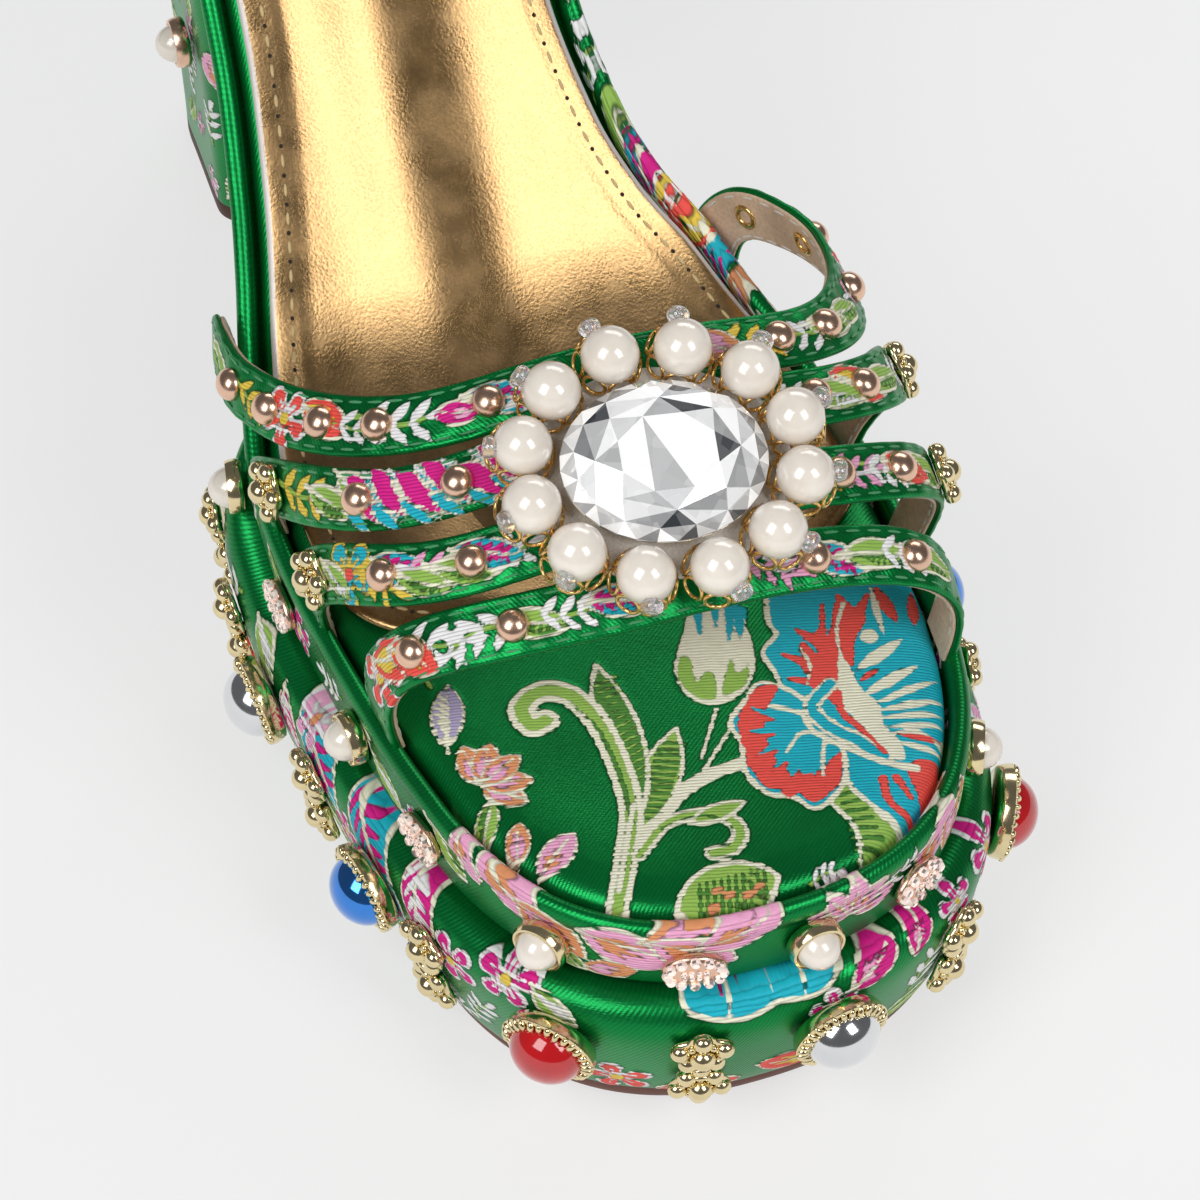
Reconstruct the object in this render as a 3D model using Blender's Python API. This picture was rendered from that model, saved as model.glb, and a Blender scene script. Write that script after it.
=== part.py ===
"""Embellished platform mule sandal for the right foot: covered two-tier platform, block heel,
four joined straps, a jewelled brooch and the trim set round the platform. Metres, +Z up, toe at -Y."""

from collections import namedtuple
from math import cos, pi, radians, sin

import bmesh
import bpy
import numpy as np
from mathutils import Matrix, Vector

MM = 0.001

# Where the shoe lies in its own frame (mm): a station is a distance from the insole's toe edge
TOE_Y = -106.804
CENTRE_X = -2.115
GRID = 6.0
END_STEPS = 6

# The insole's edge, its top height and the upper tier's depth at each station along the shoe (mm)
Station = namedtuple("Station", "s left right top depth")
STATIONS = (
    Station(-2, 33.5, 40.0, 42.6, 14.0),
    Station(15, 33.5, 40.0, 41.4, 14.0),
    Station(30, 33.5, 40.8, 41.0, 14.0),
    Station(45, 34.6, 42.0, 41.0, 14.0),
    Station(60, 36.5, 42.2, 41.1, 14.0),
    Station(75, 38.2, 41.0, 41.9, 13.6),
    Station(88, 38.7, 38.4, 45.2, 12.0),
    Station(98, 36.9, 33.8, 50.3, 10.4),
    Station(105, 35.2, 30.2, 55.2, 9.4),
    Station(112, 33.2, 25.0, 61.6, 8.6),
    Station(120, 31.3, 21.2, 69.0, 8.0),
    Station(135, 29.0, 18.2, 84.0, 7.6),
    Station(152, 28.3, 19.0, 100.2, 7.6),
    Station(172, 29.0, 22.0, 115.0, 7.6),
    Station(195, 28.8, 24.2, 124.0, 7.6),
    Station(224, 28.8, 24.2, 128.5, 7.6),
)

# Rounded ends of the outlines: tip position, length of the rounding on each side and its fullness
End = namedtuple("End", "x s left right full_left full_right")
TOE_END = End(2.0, -0.4, 54.0, 42.0, 2.35, 2.4)
HEEL_END = End(-2.0, 224.0, 27.0, 27.0, 2.2, 2.2)
PLATFORM_END = End(0.0, 104.0, 15.0, 15.0, 3.0, 3.0)
SOCK_FRONT = End(3.0, 50.0, 20.0, 20.0, 2.6, 2.6)
WAIST_FRONT = End(-3.0, 117.0, 6.0, 6.0, 3.0, 3.0)
WAIST_BACK = End(-4.0, 163.0, 6.0, 6.0, 3.0, 3.0)
HEEL_BREAST = End(-4.0, 166.0, 9.0, 9.0, 3.4, 3.4)

# Lift of the ground side under the toe and behind the ball (mm)
GROUND_S = (-2.0, 10.0, 24.0, 80.0, 90.0, 104.0)
GROUND_Z = (3.0, 1.1, 0.0, 0.0, 1.6, 8.0)
OUTSOLE_THICK = 2.5
GAP = 0.3

# Wall profiles: distance outside the insole's edge and height, from the inside top round to the bottom
Wall = namedtuple("Wall", "out level")
UPPER_TOP = (
    Wall(-8.0, -5.3), Wall(2.1, -4.9), Wall(2.3, -1.7), Wall(2.6, -0.5),
    Wall(3.0, -0.5), Wall(3.4, -1.4), Wall(3.4, -2.7), Wall(3.0, -3.9), Wall(2.6, -4.5),
)
UPPER_FOOT = (Wall(2.6, 1.6), Wall(2.0, 0.6), Wall(1.2, 0.0))
LOWER = (
    Wall(-6.0, 1.0), Wall(2.4, 1.0), Wall(4.5, 0.985), Wall(6.3, 0.93), Wall(7.3, 0.82),
    Wall(7.2, 0.68), Wall(6.3, 0.45), Wall(5.0, 0.20), Wall(3.8, 0.03), Wall(3.0, 0.0),
)
FOOTBED = (Wall(-0.3, -4.2), Wall(-0.3, -2.4), Wall(-0.9, -0.9), Wall(-2.4, -0.15), Wall(-6.0, 0.2))
SOCK = (Wall(-6.0, 0.95), Wall(-1.6, 0.4), Wall(-1.5, 1.1), Wall(-2.4, 1.7), Wall(-6.0, 2.1))
OUTSOLE = (Wall(2.4, 0.0), Wall(2.8, 0.4), Wall(2.8, 1.0))
WAIST = (Wall(0.0, 0.0), Wall(0.0, 1.6))
TIER_GAP = 0.4

# Heel block: the foot is a smaller copy of its top, moved to stand under the seat
HEEL_SEAT_OUT = 1.4
HEEL_FOOT_WIDTH = 0.77
HEEL_FOOT_DEPTH = 0.69
HEEL_TOP_MID = (-2.5, 195.5)
HEEL_FOOT_MID = (-1.5, 202.0)
HEEL_LEVELS = (0.0, 0.06, 0.18, 0.36, 0.56, 0.78, 1.0)
HEEL_WAIST_POWER = 1.5
TOP_PIECE_THICK = 3.0

# The last over the straps: crown height above the insole at each station
CROWN_S = (20.0, 45.0, 65.0, 85.0, 105.0)
CROWN_Z = (16.5, 31.2, 39.0, 42.0, 46.0)
CROWN_X = 2.0
LAST_FULLNESS = 2.22

# Straps from the instep to the toe: stations of the two feet and of the crown, and how the feet are set
Strap = namedtuple("Strap", "name left crown right lean_left lean_right bulge_left bulge_right out foot")
STRAPS = (
    Strap("strap_instep", 106.5, 62.0, 107.5, 3.7, 4.4, 4.2, 5.4, 3.8, -8.6),
    Strap("strap_second", 84.6, 53.6, 75.0, 4.4, 4.1, 6.8, 7.6, -0.2, -2.6),
    Strap("strap_third", 67.0, 43.6, 53.6, 4.1, 4.0, 5.8, 7.4, -0.2, -3.6),
    Strap("strap_toe", 44.4, 34.2, 35.2, 2.3, 2.3, 4.6, 4.4, -0.45, -1.6),
)
STRAP_WIDTH = 8.4
STRAP_THICK = 1.7
STRAP_STEPS = 36

# Brooch on the straps' crown: an oval plate tilted down to the toe
BROOCH_MID = (4.2, 46.4, 75.8)
BROOCH_PITCH = radians(24.5)
BROOCH_TURN = radians(-8.0)
PLATE_HALF = (18.0, 14.6)
PLATE_THICK = 2.6
TRAY_HALF = (12.6, 10.0)
TRAY_HIGH = 2.6
TRAY_FLARE = 1.5
STONE_HALF = (13.9, 11.1)
Facet = namedtuple("Facet", "out high")
STONE_FACETS = (Facet(-1.6, 0.0), Facet(0.0, 0.9), Facet(-2.2, 3.2), Facet(-5.2, 4.8))
STONE_SIDES = 16
PEARL_RING_HALF = (18.9, 15.7)
PEARL_COUNT = 12
PEARL_RADIUS = 3.95

# Trim round the platform: fraction of the way round the insole's edge from the back of the heel
Trim = namedtuple("Trim", "name round")
CABOCHONS = (
    Trim("silver_left", 0.318), Trim("blue_left", 0.385), Trim("red_front", 0.447),
    Trim("silver_front", 0.508), Trim("red_right", 0.580), Trim("blue_right", 0.651),
)
FLOWER_PAIRS = (
    Trim("rear", 0.272), Trim("left_c", 0.292), Trim("left_b", 0.349), Trim("left_a", 0.410),
    Trim("front", 0.477), Trim("right_a", 0.543), Trim("right_b", 0.622),
)
PEARL_STUDS = (
    Trim("rear", 0.282), Trim("left", 0.361), Trim("front_left", 0.441),
    Trim("front_right", 0.505), Trim("right", 0.578),
)
RONDELLES = (Trim("left_b", 0.314), Trim("left_a", 0.398), Trim("front", 0.476), Trim("right", 0.535))
CABOCHON_LEVEL = 0.62
PAIR_LEVEL = 0.50
LOWER_TRIM_TILT = radians(-9.0)
UPPER_TRIM_DROP = 0.58
UPPER_TRIM_OUT = 3.0
UPPER_TRIM_EASE = 0.36
FLOWER_RADIUS = 4.0
FLOWER_PITCH = 9.5
FLOWER_THICK = 1.9
FLOWER_STEPS = 15
FLOWER_PETALS = 5
FLOWER_LOBE = 0.16
FLOWER_STAND = 0.5
Tier = namedtuple("Tier", "size high")
FLOWER_TIERS = (Tier(0.94, 0.0), Tier(1.0, 0.55), Tier(0.72, 1.0))
PAIR_BAR = (2.2, FLOWER_PITCH, 1.1)
PAIR_BAR_MID = 1.3

# Flowers on the ends of the middle straps: strap number and angle up from its foot, then the heel's stud
StrapFlower = namedtuple("StrapFlower", "name strap angle")
STRAP_FLOWERS = (
    StrapFlower("second_left", 1, radians(24.0)), StrapFlower("second_right", 1, radians(152.0)),
    StrapFlower("third_left", 2, radians(22.0)), StrapFlower("third_right", 2, radians(152.0)),
)
HEEL_STUD = (189.0, 36.0)
HEEL_STUD_STAND = 0.8

# Turned profiles: radius and distance out from the wall
Turn = namedtuple("Turn", "r d")
SETTING = (
    Turn(0, 0.4), Turn(6.1, 0.4), Turn(6.7, 1.6), Turn(6.9, 2.5), Turn(6.3, 2.8), Turn(5.6, 2.6),
    Turn(5.5, 1.7), Turn(0, 1.7),
)
CABOCHON = (Turn(0, 2.0), Turn(5.2, 2.0), Turn(5.3, 3.0), Turn(4.6, 5.0), Turn(2.8, 6.5), Turn(0, 7.1))
STUD = (Turn(0, 0), Turn(3.7, 0), Turn(3.8, 1.4), Turn(3.4, 3.2), Turn(2.1, 4.5), Turn(0, 5.1))
RONDELLE = (Turn(0, 0), Turn(4.2, 0), Turn(4.5, 1.0), Turn(3.2, 2.0), Turn(0, 2.2))
RONDELLE_NARROW = 0.68
TURN_STEPS = 12

# Colours and finish of each material
Finish = namedtuple("Finish", "colour rough metal")
FINISHES = {
    "brocade": Finish((0.01, 0.22, 0.07), 0.40, 0.0),
    "gold_leather": Finish((0.60, 0.42, 0.16), 0.35, 0.8),
    "outsole": Finish((0.10, 0.03, 0.02), 0.60, 0.0),
    "top_piece": Finish((0.05, 0.03, 0.02), 0.70, 0.0),
    "pale_gold": Finish((0.80, 0.66, 0.36), 0.22, 1.0),
    "rose_gold": Finish((0.72, 0.45, 0.34), 0.22, 1.0),
    "pearl": Finish((0.86, 0.83, 0.78), 0.22, 0.0),
    "crystal": Finish((0.85, 0.88, 0.90), 0.05, 0.0),
    "silver": Finish((0.75, 0.76, 0.78), 0.08, 1.0),
    "blue": Finish((0.02, 0.16, 0.55), 0.10, 0.6),
    "red": Finish((0.45, 0.005, 0.01), 0.08, 0.0),
}


def smooth(xs, ys, x):
    """A monotone cubic curve through a table."""
    xs, ys, x = (np.asarray(v, float) for v in (xs, ys, x))
    step = np.diff(xs)
    slope = np.diff(ys) / step
    tangent = np.zeros(len(xs))
    tangent[0], tangent[-1] = slope[0], slope[-1]
    for i in range(1, len(xs) - 1):
        if slope[i - 1] * slope[i] > 0:
            a = 2 * step[i] + step[i - 1]
            b = step[i] + 2 * step[i - 1]
            tangent[i] = (a + b) / (a / slope[i - 1] + b / slope[i])
    x = np.clip(x, xs[0], xs[-1])
    i = np.clip(np.searchsorted(xs, x, side="right") - 1, 0, len(step) - 1)
    t = (x - xs[i]) / step[i]
    ends = (2 * t**3 - 3 * t**2 + 1) * ys[i] + (3 * t**2 - 2 * t**3) * ys[i + 1]
    return ends + step[i] * ((t**3 - 2 * t**2 + t) * tangent[i] + (t**3 - t**2) * tangent[i + 1])


def column(name, s):
    """A column of the station table, read at any station."""
    return smooth([row.s for row in STATIONS], [getattr(row, name) for row in STATIONS], s)


def insole_top(s):
    return column("top", s)


def upper_bottom(s):
    return column("top", s) - column("depth", s)


def ground(s):
    return smooth(GROUND_S, GROUND_Z, s)


def rounding(distance, length, full):
    t = np.clip(distance / length, 0, 1)
    return (1 - (1 - t) ** full) ** (1 / full)


def edge(s, sign, front, back):
    """The insole's edge on one side, rounded off at the front and back ends."""
    name = "left" if sign < 0 else "right"
    x = sign * column(name, s)
    x = front.x + (x - front.x) * rounding(s - front.s, getattr(front, name), getattr(front, "full_" + name))
    return back.x + (x - back.x) * rounding(back.s - s, getattr(back, name), getattr(back, "full_" + name))


def outline(front, back):
    """A closed ring of (x, s): back end, up the left side to the front end, and back on the right.

    Every outline shares the stations of one grid, so that layers lie evenly on each other."""
    grid = np.arange(np.ceil((front.s + 8) / GRID) * GRID, back.s - 8, GRID)
    ease = np.linspace(0, 1, END_STEPS + 1)[:-1] ** 2
    lead = front.s + (grid[0] - front.s) * ease
    tail = back.s - (back.s - grid[-1]) * ease[::-1]
    s = np.concatenate([lead, grid, tail])
    left = np.stack([edge(s, -1, front, back), s], 1)[::-1]
    right = np.stack([edge(s, 1, front, back), s], 1)[1:-1]
    return np.concatenate([left, right])


def outward(ring):
    run = np.roll(ring, -1, axis=0) - np.roll(ring, 1, axis=0)
    run = run / np.linalg.norm(run, axis=1)[:, None]
    return np.stack([run[:, 1], -run[:, 0]], 1)


def place(x, s, z):
    """A point of the shoe in metres."""
    return np.stack([(x + CENTRE_X) * MM, (s + TOE_Y) * MM, z * MM], -1)


def point(x, s, z):
    return Vector(((x + CENTRE_X) * MM, (s + TOE_Y) * MM, z * MM))


def material(name):
    made = bpy.data.materials.get(name)
    if made is None:
        finish = FINISHES[name]
        made = bpy.data.materials.new(name)
        made.use_nodes = True
        shader = made.node_tree.nodes["Principled BSDF"]
        shader.inputs["Base Color"].default_value = (*finish.colour, 1)
        shader.inputs["Roughness"].default_value = finish.rough
        shader.inputs["Metallic"].default_value = finish.metal
    return made


def finish_object(name, mesh_data, finish, parent):
    mesh = bpy.data.meshes.new(name)
    bmesh.ops.recalc_face_normals(mesh_data, faces=mesh_data.faces)
    mesh_data.to_mesh(mesh)
    mesh_data.free()
    mesh.materials.append(material(finish))
    mesh.shade_smooth()
    mesh.set_sharp_from_angle(angle=radians(35))
    obj = bpy.data.objects.new(name, mesh)
    bpy.context.collection.objects.link(obj)
    obj.parent = parent
    return obj


def loft(name, rings, finish, parent):
    """Rings skinned one after the next, with rungs laid across the first and the last to close them."""
    shape = bmesh.new()
    loops = [[shape.verts.new(p) for p in ring] for ring in rings]
    count = len(loops[0])
    for below, above in zip(loops, loops[1:]):
        for i in range(count):
            j = (i + 1) % count
            shape.faces.new((below[i], below[j], above[j], above[i]))
    for loop in (loops[0], loops[-1]):
        for i in range(count // 2):
            rung = [loop[i], loop[i + 1], loop[count - i - 1], loop[(count - i) % count]]
            shape.faces.new(list(dict.fromkeys(rung)))
    return finish_object(name, shape, finish, parent)


def turned(name, profile, finish, parent, narrow=1.0):
    """A profile spun about its axis; the axis points out along +Z."""
    shape = bmesh.new()
    verts = [shape.verts.new((row.r * MM, 0, row.d * MM)) for row in profile]
    edges = [shape.edges.new(pair) for pair in zip(verts, verts[1:])]
    bmesh.ops.spin(shape, geom=verts + edges, cent=(0, 0, 0), axis=(0, 0, 1), angle=2 * pi, steps=TURN_STEPS,
                   use_merge=True)
    bmesh.ops.remove_doubles(shape, verts=shape.verts, dist=0.00001)
    bmesh.ops.scale(shape, vec=(narrow, 1, 1), verts=shape.verts)
    return finish_object(name, shape, finish, parent)


def oval(half, out, z, steps=28):
    """A ring on the brooch's own plane."""
    turn = np.linspace(0, 2 * pi, steps, endpoint=False)
    return [Vector(((half[0] + out) * cos(a) * MM, (half[1] + out) * sin(a) * MM, z * MM)) for a in turn]


# Sole, platform, footbed and heel

def layer(name, front, back, rows, height, finish, parent):
    """A loft that follows the insole's edge; height gives a row's z at each station."""
    ring = outline(front, back)
    out = outward(ring)
    rings = []
    for row in rows:
        at = ring + out * row.out
        rings.append(place(at[:, 0], at[:, 1], height(row, at[:, 1])))
    return loft(name, rings, finish, parent)


def upper_level(row, s):
    if row in UPPER_FOOT:
        return upper_bottom(s) + row.level
    return insole_top(s) + row.level


def lower_level(row, s):
    low = ground(s) + OUTSOLE_THICK + GAP
    high = upper_bottom(s) - TIER_GAP
    return low + (high - low) * row.level


def top_level(row, s):
    return insole_top(s) + row.level


def outsole_level(row, s):
    return ground(s) + OUTSOLE_THICK * row.level


def waist_level(row, s):
    return upper_bottom(s) - GAP - row.level


def make_base(parent):
    layer("outsole", TOE_END, PLATFORM_END, OUTSOLE, outsole_level, "outsole", parent)
    layer("platform_lower", TOE_END, PLATFORM_END, LOWER, lower_level, "brocade", parent)
    layer("platform_upper", TOE_END, HEEL_END, UPPER_TOP + UPPER_FOOT, upper_level, "brocade", parent)
    layer("footbed", TOE_END, HEEL_END, FOOTBED, top_level, "brocade", parent)
    layer("sock", SOCK_FRONT, HEEL_END, SOCK, top_level, "gold_leather", parent)
    layer("waist_sole", WAIST_FRONT, WAIST_BACK, WAIST, waist_level, "outsole", parent)


def heel_ring(level):
    """The heel's section from its seat (0) to its foot (1)."""
    seat = outline(HEEL_BREAST, HEEL_END)
    seat = seat + outward(seat) * HEEL_SEAT_OUT
    foot = np.stack([
        HEEL_FOOT_MID[0] + (seat[:, 0] - HEEL_TOP_MID[0]) * HEEL_FOOT_WIDTH,
        HEEL_FOOT_MID[1] + (seat[:, 1] - HEEL_TOP_MID[1]) * HEEL_FOOT_DEPTH,
    ], 1)
    waisted = 1 - (1 - level) ** HEEL_WAIST_POWER
    at = seat + (foot - seat) * waisted
    high = upper_bottom(seat[:, 1]) - GAP
    low = TOP_PIECE_THICK + GAP
    return at, high + (low - high) * level


def make_heel(parent):
    rings = []
    for level in HEEL_LEVELS:
        at, z = heel_ring(level)
        rings.append(place(at[:, 0], at[:, 1], z))
    loft("heel", rings, "brocade", parent)
    at, _ = heel_ring(1.0)
    foot = [place(at[:, 0], at[:, 1], np.full(len(at), z)) for z in (TOP_PIECE_THICK, 0.0)]
    loft("heel_top_piece", foot, "top_piece", parent)


# Straps on the last, joined by the brooch's plate

def last_point(strap, s, angle):
    """A point of the last under a strap: angle 0 is the left foot and pi the right foot."""
    c, h = cos(angle), smooth(CROWN_S, CROWN_Z, s)
    across = abs(c) ** (2 / LAST_FULLNESS)
    rise = abs(sin(angle)) ** (2 / LAST_FULLNESS)
    name, sign, bulge = ("left", -1, strap.bulge_left) if c > 0 else ("right", 1, strap.bulge_right)
    slant = np.hypot(1.0, column(name, s + 0.5) - column(name, s - 0.5))
    foot_x = sign * (column(name, s) + strap.out * slant)
    x = CROWN_X + (foot_x - CROWN_X) * across - bulge * sin(2 * angle)
    return point(x, s, insole_top(s) + strap.foot + (h - strap.foot) * rise)


def strap_station(strap, angle):
    c = cos(angle)
    foot, lean = (strap.left, strap.lean_left) if c > 0 else (strap.right, strap.lean_right)
    return strap.crown + (foot - strap.crown) * abs(c) ** lean


def strap_frame(strap, angle):
    """Mid-line point, outward normal and width direction of a strap."""
    angle = min(max(angle, 0.02), pi - 0.02)
    step = 0.004
    s = strap_station(strap, angle)
    here = last_point(strap, s, angle)
    along = last_point(strap, strap_station(strap, angle + step), angle + step) - here
    around = last_point(strap, s, angle + step) - here
    back = last_point(strap, s + 0.2, angle) - here
    normal = around.cross(back).normalized()
    if normal.dot(Vector((cos(angle) * -1, 0, sin(angle)))) < 0:
        normal.negate()
    width = along.cross(normal).normalized()
    return here, normal, width


def make_strap(strap, parent):
    shape = bmesh.new()
    pairs = []
    for k in range(STRAP_STEPS + 1):
        angle = pi * k / STRAP_STEPS
        at, _, width = strap_frame(strap, angle)
        if k in (0, STRAP_STEPS):
            s = strap_station(strap, angle)
            at = last_point(strap, s, angle)
        pairs.append([shape.verts.new(at + width * side * STRAP_WIDTH / 2 * MM) for side in (-1, 1)])
    for a, b in zip(pairs, pairs[1:]):
        shape.faces.new((a[0], b[0], b[1], a[1]))
    obj = finish_object(strap.name, shape, "brocade", parent)
    middle = obj.data.polygons[STRAP_STEPS // 2]
    if middle.normal.z < 0:
        obj.data.flip_normals()
    thick = obj.modifiers.new("thickness", "SOLIDIFY")
    thick.thickness = STRAP_THICK * MM
    thick.offset = 1.0
    thick.use_even_offset = True
    return obj


def brooch_matrix():
    pitch = Matrix.Rotation(BROOCH_PITCH, 4, "X")
    return Matrix.Translation(point(*BROOCH_MID)) @ pitch @ Matrix.Rotation(BROOCH_TURN, 4, "Z")


def make_upper(parent):
    upper = make_strap(STRAPS[0], parent)
    upper.name = "upper_straps"
    plate = loft("brooch_plate", [oval(PLATE_HALF, 0, 0), oval(PLATE_HALF, 0, -PLATE_THICK)], "brocade", parent)
    plate.matrix_local = brooch_matrix()
    joined = [plate] + [make_strap(row, parent) for row in STRAPS[1:]]
    for other in joined:
        other.hide_render = True
        other.display_type = "WIRE"
        join = upper.modifiers.new("join_" + other.name, "BOOLEAN")
        join.operation = "UNION"
        join.solver = "EXACT"
        join.object = other


# Brooch

def make_brooch(parent):
    tray = [oval(TRAY_HALF, -TRAY_FLARE, GAP), oval(TRAY_HALF, 0, GAP + TRAY_HIGH)]
    loft("brooch_tray", tray, "pale_gold", parent).matrix_local = brooch_matrix()
    base = GAP + TRAY_HIGH + GAP
    facets = [oval(STONE_HALF, row.out, base + row.high, STONE_SIDES) for row in STONE_FACETS]
    loft("brooch_stone", facets, "crystal", parent).matrix_local = brooch_matrix()
    for k in range(PEARL_COUNT):
        angle = 2 * pi * (k + 0.5) / PEARL_COUNT
        shape = bmesh.new()
        bmesh.ops.create_icosphere(shape, subdivisions=2, radius=PEARL_RADIUS * MM)
        pearl = finish_object(f"brooch_pearl_{k + 1:02d}", shape, "pearl", parent)
        spot = Vector((PEARL_RING_HALF[0] * cos(angle), PEARL_RING_HALF[1] * sin(angle), GAP + PEARL_RADIUS)) * MM
        pearl.matrix_local = brooch_matrix() @ Matrix.Translation(spot)


# Trim set on the walls

def round_the_edge(fraction):
    """Point and outward direction at a fraction of the way round the insole's edge."""
    ring = outline(TOE_END, HEEL_END)
    out = outward(ring)
    ring, out = (np.concatenate([v, v[:1]]) for v in (ring, out))
    run = np.concatenate([[0], np.cumsum(np.linalg.norm(np.diff(ring, axis=0), axis=1))])
    at, way = (np.array([np.interp(fraction * run[-1], run, v[:, i]) for i in (0, 1)]) for v in (ring, out))
    return at, way / np.linalg.norm(way)


def facing(at, out, tilt):
    """A frame at a point with +Z pointing out of the wall and +Y up it."""
    flat = Vector((out[0], out[1], 0)).normalized()
    axis = (flat * cos(tilt) + Vector((0, 0, sin(tilt)))).normalized()
    side = Vector((0, 0, 1)).cross(axis).normalized()
    up = axis.cross(side)
    turn = Matrix((side, up, axis)).transposed().to_4x4()
    return Matrix.Translation(at) @ turn


def lower_wall(fraction, level):
    at, out = round_the_edge(fraction)
    levels = [row.level for row in LOWER][::-1]
    outs = [row.out for row in LOWER][::-1]
    stand = float(np.interp(level, levels, outs))
    spot = at + out * stand
    z = float(lower_level(Wall(0, level), spot[1]))
    return facing(point(spot[0], spot[1], z), out, LOWER_TRIM_TILT)


def upper_wall(fraction):
    at, out = round_the_edge(fraction)
    depth = float(column("depth", at[1]))
    spot = at + out * (UPPER_TRIM_OUT + UPPER_TRIM_EASE * (STATIONS[0].depth - depth))
    z = float(insole_top(at[1])) - UPPER_TRIM_DROP * depth
    return facing(point(spot[0], spot[1], z), out, 0.0)


def flower(name, finish, parent, lift):
    """A disc with five round lobes and a low dome."""
    shape = bmesh.new()
    rings = []
    for row in FLOWER_TIERS:
        rings.append([])
        z = lift + FLOWER_THICK * row.high
        for k in range(FLOWER_STEPS):
            a = 2 * pi * k / FLOWER_STEPS
            r = FLOWER_RADIUS * row.size * (1 - FLOWER_LOBE + FLOWER_LOBE * cos(FLOWER_PETALS * a))
            rings[-1].append(shape.verts.new((r * cos(a) * MM, r * sin(a) * MM, z * MM)))
    for below, above in zip(rings, rings[1:]):
        for i in range(FLOWER_STEPS):
            j = (i + 1) % FLOWER_STEPS
            shape.faces.new((below[i], below[j], above[j], above[i]))
    shape.faces.new(rings[0])
    shape.faces.new(rings[-1])
    return finish_object(name, shape, finish, parent)


def flower_pair(name, frame, parent):
    """Two flowers one above the other on a short bar."""
    half = FLOWER_PITCH / 2
    low = flower(name, "pale_gold", parent, FLOWER_STAND)
    high = flower(name + "_high", "pale_gold", parent, FLOWER_STAND)
    shape = bmesh.new()
    bmesh.ops.create_cube(shape, size=1)
    bmesh.ops.scale(shape, vec=Vector(PAIR_BAR) * MM, verts=shape.verts)
    bar = finish_object(name + "_bar", shape, "pale_gold", parent)
    low.matrix_local = frame @ Matrix.Translation((0, -half * MM, 0))
    high.matrix_local = frame @ Matrix.Translation((0, half * MM, 0))
    bar.matrix_local = frame @ Matrix.Translation((0, 0, PAIR_BAR_MID * MM))
    for other in (bar, high):
        other.hide_render = True
        other.display_type = "WIRE"
        join = low.modifiers.new("join", "BOOLEAN")
        join.operation = "UNION"
        join.solver = "EXACT"
        join.object = other


def make_trim(parent):
    for row in CABOCHONS:
        frame = lower_wall(row.round, CABOCHON_LEVEL)
        turned("setting_" + row.name, SETTING, "pale_gold", parent).matrix_local = frame
        colour = row.name.split("_")[0]
        turned("cabochon_" + row.name, CABOCHON, colour, parent).matrix_local = frame
    for row in FLOWER_PAIRS:
        flower_pair("flower_pair_" + row.name, lower_wall(row.round, PAIR_LEVEL), parent)
    for row in PEARL_STUDS:
        turned("pearl_stud_" + row.name, STUD, "pearl", parent).matrix_local = upper_wall(row.round)
    for row in RONDELLES:
        made = turned("rondelle_" + row.name, RONDELLE, "rose_gold", parent, RONDELLE_NARROW)
        made.matrix_local = upper_wall(row.round) @ Matrix.Rotation(pi / 2, 4, "Z")
    for row in STRAP_FLOWERS:
        strap = STRAPS[row.strap]
        at, normal, width = strap_frame(strap, row.angle)
        turn = Matrix((width, normal.cross(width), normal)).transposed().to_4x4()
        made = flower("strap_flower_" + row.name, "pale_gold", parent, STRAP_THICK + FLOWER_STAND)
        made.matrix_local = Matrix.Translation(at) @ turn
    s, z = HEEL_STUD
    made = turned("heel_stud", STUD, "pearl", parent)
    made.matrix_local = heel_side(s, z)


def heel_side(s, z):
    """A frame on the heel's left side."""
    best = None
    for level in np.linspace(0, 1, 101):
        at, heights = heel_ring(level)
        left = at[:, 0] < HEEL_FOOT_MID[0]
        k = int(np.argmin(np.where(left, np.hypot(at[:, 1] - s, heights - z), 1e9)))
        miss = float(np.hypot(at[k, 1] - s, heights[k] - z))
        if best is None or miss < best[0]:
            best = (miss, at[k], outward(at)[k])
    _, at, out = best
    spot = at + out * HEEL_STUD_STAND
    return facing(point(spot[0], spot[1], z), out, 0.0)


def main():
    for obj in list(bpy.data.objects):
        bpy.data.objects.remove(obj, do_unlink=True)
    shoe = bpy.data.objects.new("shoe", None)
    bpy.context.collection.objects.link(shoe)
    make_base(shoe)
    make_heel(shoe)
    make_upper(shoe)
    make_brooch(shoe)
    make_trim(shoe)


main()
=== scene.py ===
"""Embellished platform mule sandal: its looks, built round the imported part.

Laid out as an add-on and run as a script. Shapes are worked out in millimetres on the shoe's own
stations (s, the distance from the insole's toe edge) and placed in metres."""

from collections import namedtuple
from math import cos, pi, radians, sin

import bpy
import numpy as np
from bpy.props import FloatProperty, FloatVectorProperty, PointerProperty
from mathutils import Matrix, Vector


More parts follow.
